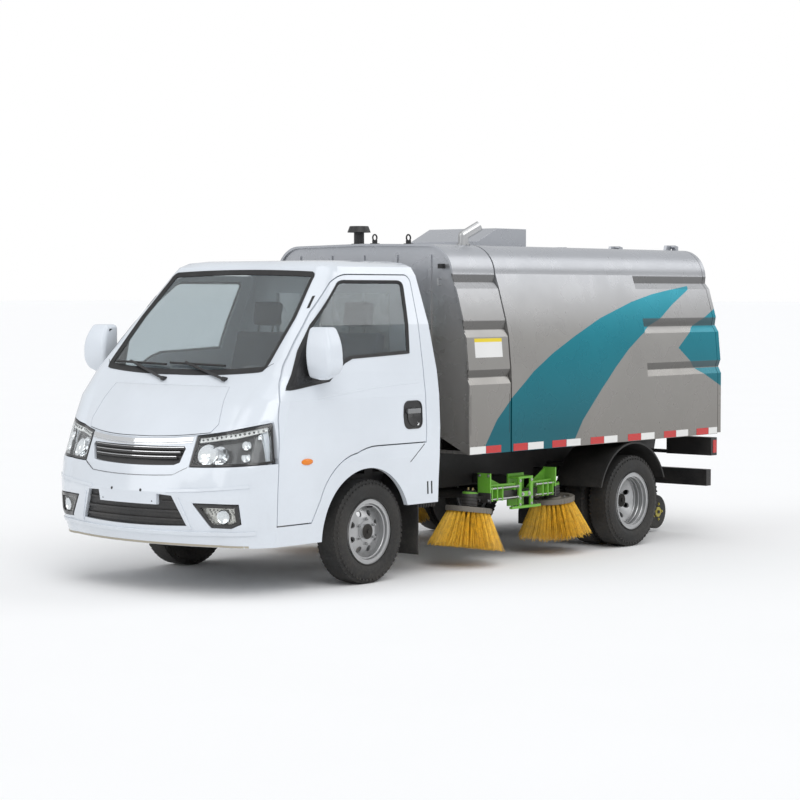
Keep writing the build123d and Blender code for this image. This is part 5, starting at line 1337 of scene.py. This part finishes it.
def build_brushes():
    """Bristles, plates, clamps and bolts of the four brushes."""
    for arm in BRUSHES:
        for hand, side in SIDES:
            name = f"{arm}_{hand}"
            body = name + "_brush"
            matrix, up = brush_frame(arm, side)
            base = matrix.translation
            ring = {"Centre": tuple(base), "Axis": tuple(up)}
            strands = repeat(Build(), "bristles_" + name, BRISTLE, body, BRUSH, matrix=matrix, smooth=60,
                             Seed=BRUSH_SEEDS[name], **BRISTLES)
            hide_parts("brush_" + name)
            plate = Build()
            plate.lathe(PLATE_PROFILE, base, up, 64)
            plate.done("brush_plate_" + name, PLATE_GREY, body)
            clamp = Build()
            clamp.box((0.1440, -0.0042, 0.003), (0.1494, 0.0042, 0.031), matrix)
            repeat(clamp, "brush_clamps_" + name, PLATE_GREY, body, TURNED, Count=CLAMPS, **ring)
            bolt = Build()
            bolt.bolt(matrix @ Vector((0.088, 0, 0.020)), up, 0.008, 0.008)
            repeat(bolt, "brush_bolts_" + name, STEEL, body, TURNED, Count=PLATE_BOLTS, **ring)


# ---------------------------------------------------------------- seats
PAD_CAP = 0.010         # how far the cloth may swell
CLOTH_FRAMES = 20
SEAT_X = 0.385


def swell(build, name):
    """Cloth that is blown up a little from a closed shape."""
    pad = put_object(name, build.mesh(name))
    grid = pad.modifiers.new("Grid", "REMESH")
    grid.mode = "VOXEL"
    grid.voxel_size = 0.0115
    fine = evaluated_mesh(pad)
    pad.modifiers.clear()
    pad.data = fine
    start = [v.co.copy() for v in fine.vertices]
    cloth = pad.modifiers.new("Cloth", "CLOTH")
    cloth.settings.use_pressure = True
    cloth.settings.uniform_pressure_force = 4.0
    cloth.settings.effector_weights.gravity = 0.0
    cloth.settings.quality = 4
    cloth.point_cache.frame_end = CLOTH_FRAMES
    for number in range(1, CLOTH_FRAMES + 1):
        bpy.context.scene.frame_set(number)
    fine = bpy.data.meshes.new_from_object(pad.evaluated_get(bpy.context.evaluated_depsgraph_get()))
    pad.modifiers.clear()
    bpy.context.scene.frame_set(1)
    for v, old in zip(fine.vertices, start):
        shift = v.co - old
        if shift.length > PAD_CAP:
            v.co = old + shift * (PAD_CAP / shift.length)
    bpy.data.objects.remove(pad)
    return fine


# half width of each pad, and its outline: y, z
PADS = (
    (0.223, ((-1.586, 0.915), (-1.104, 0.905), (-1.104, 0.998), (-1.570, 1.000))),
    (0.223, ((-1.098, 0.985), (-0.966, 0.972), (-0.870, 1.490), (-0.945, 1.505))),
    (0.108, ((-0.932, 1.542), (-0.874, 1.530), (-0.852, 1.676), (-0.912, 1.684))),
)


def build_seats():
    """Padded cushions, backs and head pads on hard bases."""
    pads = Build()
    for half, outline in PADS:
        pads.loft([[(SEAT_X + s * half, y, z) for y, z in outline] for s in (-1, 1)], closed=False)
    mesh = swell(pads, "seat_pads")
    for v in mesh.vertices:
        if 1.02 < v.co.z < 1.50:
            v.co.y -= max(0.0, abs(v.co.x - SEAT_X) - 0.13) * 0.16
    for name, side in SIDES:
        copy = mesh.copy()
        if side < 0:
            copy.transform(Matrix.Scale(-1, 4, (1, 0, 0)))
            copy.flip_normals()
        piece = finish_piece("seat_pads_" + name, copy, SEAT, CHASSIS, 80)
        soft = piece.modifiers.new("Soft", "SUBSURF")
        soft.levels = 1
        soft.render_levels = 1
    base, piping = Build(), Build()
    for x in (-SEAT_X, SEAT_X):
        base.box((x - 0.225, -1.575, 0.8605), (x + 0.225, -1.045, 0.905))
        base.box((x - 0.235, -1.590, 0.7605), (x + 0.235, -1.030, 0.862))
        for s in (-0.06, 0.06):
            base.tube([(x + s, -0.925, 1.46), (x + s, -0.900, 1.58)], 0.006, 12)
        seam = ((-1, -1.13), (-1, -1.50), (-0.8, -1.56), (0.8, -1.56), (1, -1.50), (1, -1.13))
        piping.tube([(x + s * 0.205, y, 1.0085) for s, y in seam], 0.0035, 8)
    shell = base.done("seat_bases", TRIM, bevel=0.004)
    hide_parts("seats")
    piping.done("seat_seams", TRIM, slot="seat_fabric")


# ---------------------------------------------------------------- tail
def build_tail():
    """Lenses of the tail lamps."""
    lens, signal = Build(), Build()
    low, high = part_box("tail_lamps")
    for _, side in SIDES:
        for part, inner, outer, y0, y1, edge in ((lens, 0.150, 0.004, -0.012, 0.004, 0.010),
                                                 (lens, 0.004, -0.003, -0.052, -0.006, 0.018),
                                                 (signal, 0.235, 0.160, -0.012, 0.004, 0.010)):
            part.box((side * (high.x - inner), high.y + y0, low.z + edge),
                     (side * (high.x - outer), high.y + y1, high.z - edge))
    lens.done("tail_lenses", RED, bevel=0.003)
    signal.done("tail_signals", AMBER, bevel=0.003)


# ---------------------------------------------------------------- carriers, labels and small fittings
ARM_PIN_Z = 0.432
CARRIER_Y = 0.315
ROD_X = 0.790
MOTOR_TOP = 0.128
CAP_PROFILE = [(MOTOR_TOP - 0.002, 0.0), (MOTOR_TOP - 0.002, 0.040), (MOTOR_TOP + 0.008, 0.040),
               (MOTOR_TOP + 0.012, 0.034), (MOTOR_TOP + 0.012, 0.0)]
FINS = [[(z, 0.050), (z, 0.0545), (z + 0.006, 0.0545), (z + 0.006, 0.050)] for z in (0.050, 0.070, 0.090)]
# arm, y of its pin, y of its end plate's outer face
ARMS = (("front", 0.280, -0.089), ("rear", 0.350, 0.626))


def build_arm(arm, hand, side, pin_y, face_y):
    """Rods, straps, motor cap and ports of one brush arm."""
    toward = 1 if face_y > pin_y else -1
    end_y = pin_y + toward * 0.068
    name = f"{arm}_{hand}"
    body = name + "_arm"
    rods = Build()
    for x in (0.713, 0.787):
        for z in (0.412, 0.572):
            rods.bolt((side * x, face_y, z), (0, toward, 0), 0.0075, 0.007)
    for z, r in ((0.487, 0.0065), (0.418, 0.005)):
        end = Vector((side * ROD_X, end_y, z))
        rods.tube([(side * ROD_X, face_y - toward * 0.010, z), end], r, 12)
        rods.disc(end, end - Vector((0, toward * 0.010, 0)), r * 1.8, 6)
    rods.done("arm_rods_" + name, STEEL, body)
    straps = Build()
    for k in range(3):
        y = face_y - toward * (0.030 + 0.055 * k)
        straps.box((side * 0.748, y - 0.005, 0.405), (side * 0.797, y + 0.005, 0.497))
    straps.done("arm_straps_" + name, GREEN, body, bevel=0.001)
    matrix, up = brush_frame(arm, side)
    cap, ports = Build(), Build()
    for profile in (CAP_PROFILE, *FINS):
        cap.lathe(profile, matrix.translation, up, 40)
    for x in (-0.018, 0.018):
        foot = matrix @ Vector((x, 0, MOTOR_TOP + 0.008))
        ports.tube([foot, foot + up * 0.014], 0.0075, 6)
        ports.tube([foot + up * 0.012, foot + up * 0.022], 0.0055, 12)
    cap.done("motor_cap_" + name, IRON, body)
    ports.done("motor_ports_" + name, BRASS, body)


def build_carriers():
    """The four brush arms, and the bolts of the carriers."""
    for arm, pin_y, face_y in ARMS:
        for hand, side in SIDES:
            build_arm(arm, hand, side, pin_y, face_y)
    plates = Build()
    for end in (-1, 1):
        for z in (0.365, 0.405, 0.520):
            plates.bolt((0.784, CARRIER_Y + end * 0.062, z), (1, 0, 0), 0.007, 0.006)
        plates.bolt((0.784, CARRIER_Y + end * 0.035, ARM_PIN_Z), (1, 0, 0), 0.010, 0.009)
        for y in (-0.135, -0.100, 0.100, 0.135):
            plates.bolt((0.778, CARRIER_Y + y, 0.356), (0, 0, 1), 0.006, 0.005)
    plates.done("carrier_bolts", STEEL, mirrored=True)


LABEL_Y = (-0.340, -0.060)
EXHAUST_OUT = Vector((0.060, 0.092, 0.064))


def build_housing_fittings():
    """Black disc in the mouth of the exhaust for its soot and the painted shade inside the pipe, blank label
    and latch.
    """
    mouth = Build()
    out = EXHAUST_OUT.normalized()
    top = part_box("exhaust_pipe")[1].z
    point = cast(tree_of("exhaust_pipe"), Vector((0.605, 0.045, top - 0.028)) + out * 0.3, -out)[0]
    # the black disc stands for soot and for painted shade inside the open pipe
    mouth.disc(point - out * 0.001, point + out * 0.001, 0.027, 32)
    mouth.done("exhaust_soot_and_shade", FRAME_BLACK)
    low_y, high_y = LABEL_Y
    for name, mat, low, high in (("blank_label", LABEL, 1.335, 1.432),
                                 ("blank_label_band", YELLOW, 1.432, 1.455)):
        label = Build()
        outline = [(low_y, low), (low_y, high), (high_y, high), (high_y, low)]
        patch_on(label, outline, body_point, 0.0008, 0.05, 0.001)
        label.done(name, mat, "chassis")
    latch = Build()
    latch.tube([(0.66, -0.418, 1.79), (0.66, -0.450, 1.79), (0.66, -0.450, 1.83), (0.66, -0.418, 1.83)],
               0.006, 10)
    latch.done("housing_latch", STEEL)


def build_boxes():
    """Ribs and straps of the side boxes."""
    ribs, bands = Build(), Build()
    for _, side in SIDES:
        x = cast(BOX_TREE, (2 * side, -0.54, 0.50), (-side, 0, 0))[0].x
        ribs.box((x - side * 0.004, -0.628, 0.395), (x + side * 0.006, -0.620, 0.600))
        for z in (0.425, 0.560):
            bands.box((x - side * 0.004, -0.634, z), (x + side * 0.009, -0.450, z + 0.018))
    repeat(ribs, "box_ribs", FRAME_BLACK, CHASSIS, ROW, Count=7, Step=(0, 0.026, 0))
    bands.done("box_straps", STEEL, bevel=0.001)


for build_part in (
        build_carriers, build_housing_fittings, build_boxes, build_seals, build_mirror_glass, build_seats,
        build_tail, build_handles, build_door_trim, build_lamps, build_grille, build_bumper, build_tapes,
        build_body_fittings, build_wheels, build_brushes):
    build_part()


# ---------------------------------------------------------------- stage, light and camera
def build_stage():
    """Pale floor."""
    floor = Build()
    floor.box((-400, -400, -0.02), (400, 400, 0.0))
    mesh = floor.mesh("floor")
    made, g, place, shader = surface("floor")
    pale = g.mix(g.span(g.noise(place, 0.8), 0.3, 0.7), (0.955, 0.955, 0.955, 1), (0.965, 0.965, 0.965, 1))
    g.fill(shader, {"Base Color": pale, "Roughness": 0.9})
    mesh.materials.append(made)
    put_object("floor", mesh)


def build_world():
    """Even pale surroundings, white where they are seen."""
    world = bpy.data.worlds.new("studio")
    bpy.context.scene.world = world
    world.use_nodes = True
    tree = world.node_tree
    tree.nodes.clear()
    g = Graph(tree)
    path = tree.nodes.new("ShaderNodeLightPath")
    seen = g.math("MAXIMUM", path.outputs["Is Camera Ray"], g.times(path.outputs["Is Glossy Ray"], 0.35))
    seen = g.math("MAXIMUM", seen, path.outputs["Is Transmission Ray"])
    soft = g.add("ShaderNodeBackground", (0.95, 0.97, 1.0, 1), 0.51)
    white = g.add("ShaderNodeBackground", (1, 1, 1, 1), 1.0)
    both = g.add("ShaderNodeMixShader", seen, soft, white)
    g.fill(tree.nodes.new("ShaderNodeOutputWorld"), {"Surface": both})


# name, direction the light comes from, strength, softness in degrees
LIGHTS = (
    ("key", (0.70, -0.50, 0.72), 1.05, 40),
    ("fill", (-0.45, -0.80, 0.42), 0.50, 40),
    ("rear", (0.50, 0.75, 0.60), 0.45, 35),
    ("top", (0.05, -0.05, 1.0), 0.55, 50),
)


def build_lights():
    """Four broad studio lights."""
    for name, source, strength, softness in LIGHTS:
        data = bpy.data.lights.new(name, "SUN")
        data.energy = strength
        data.angle = math.radians(softness)
        put_object(name, data).rotation_euler = Vector(source).to_track_quat("Z", "Y").to_euler()


def build_camera():
    """Camera ahead of the left front corner."""
    data = bpy.data.cameras.new("camera")
    data.sensor_width = 36.0
    data.lens = 102.38
    camera = put_object("camera", data)
    camera.location = (9.698, -11.561, 1.7385)
    turn, drop = math.radians(40.0716), math.radians(2.682)
    camera.rotation_euler = (math.pi / 2 - drop, 0, turn)
    bpy.context.scene.camera = camera


build_stage()
build_world()
build_lights()
build_camera()
bpy.context.scene.view_settings.view_transform = "Standard"
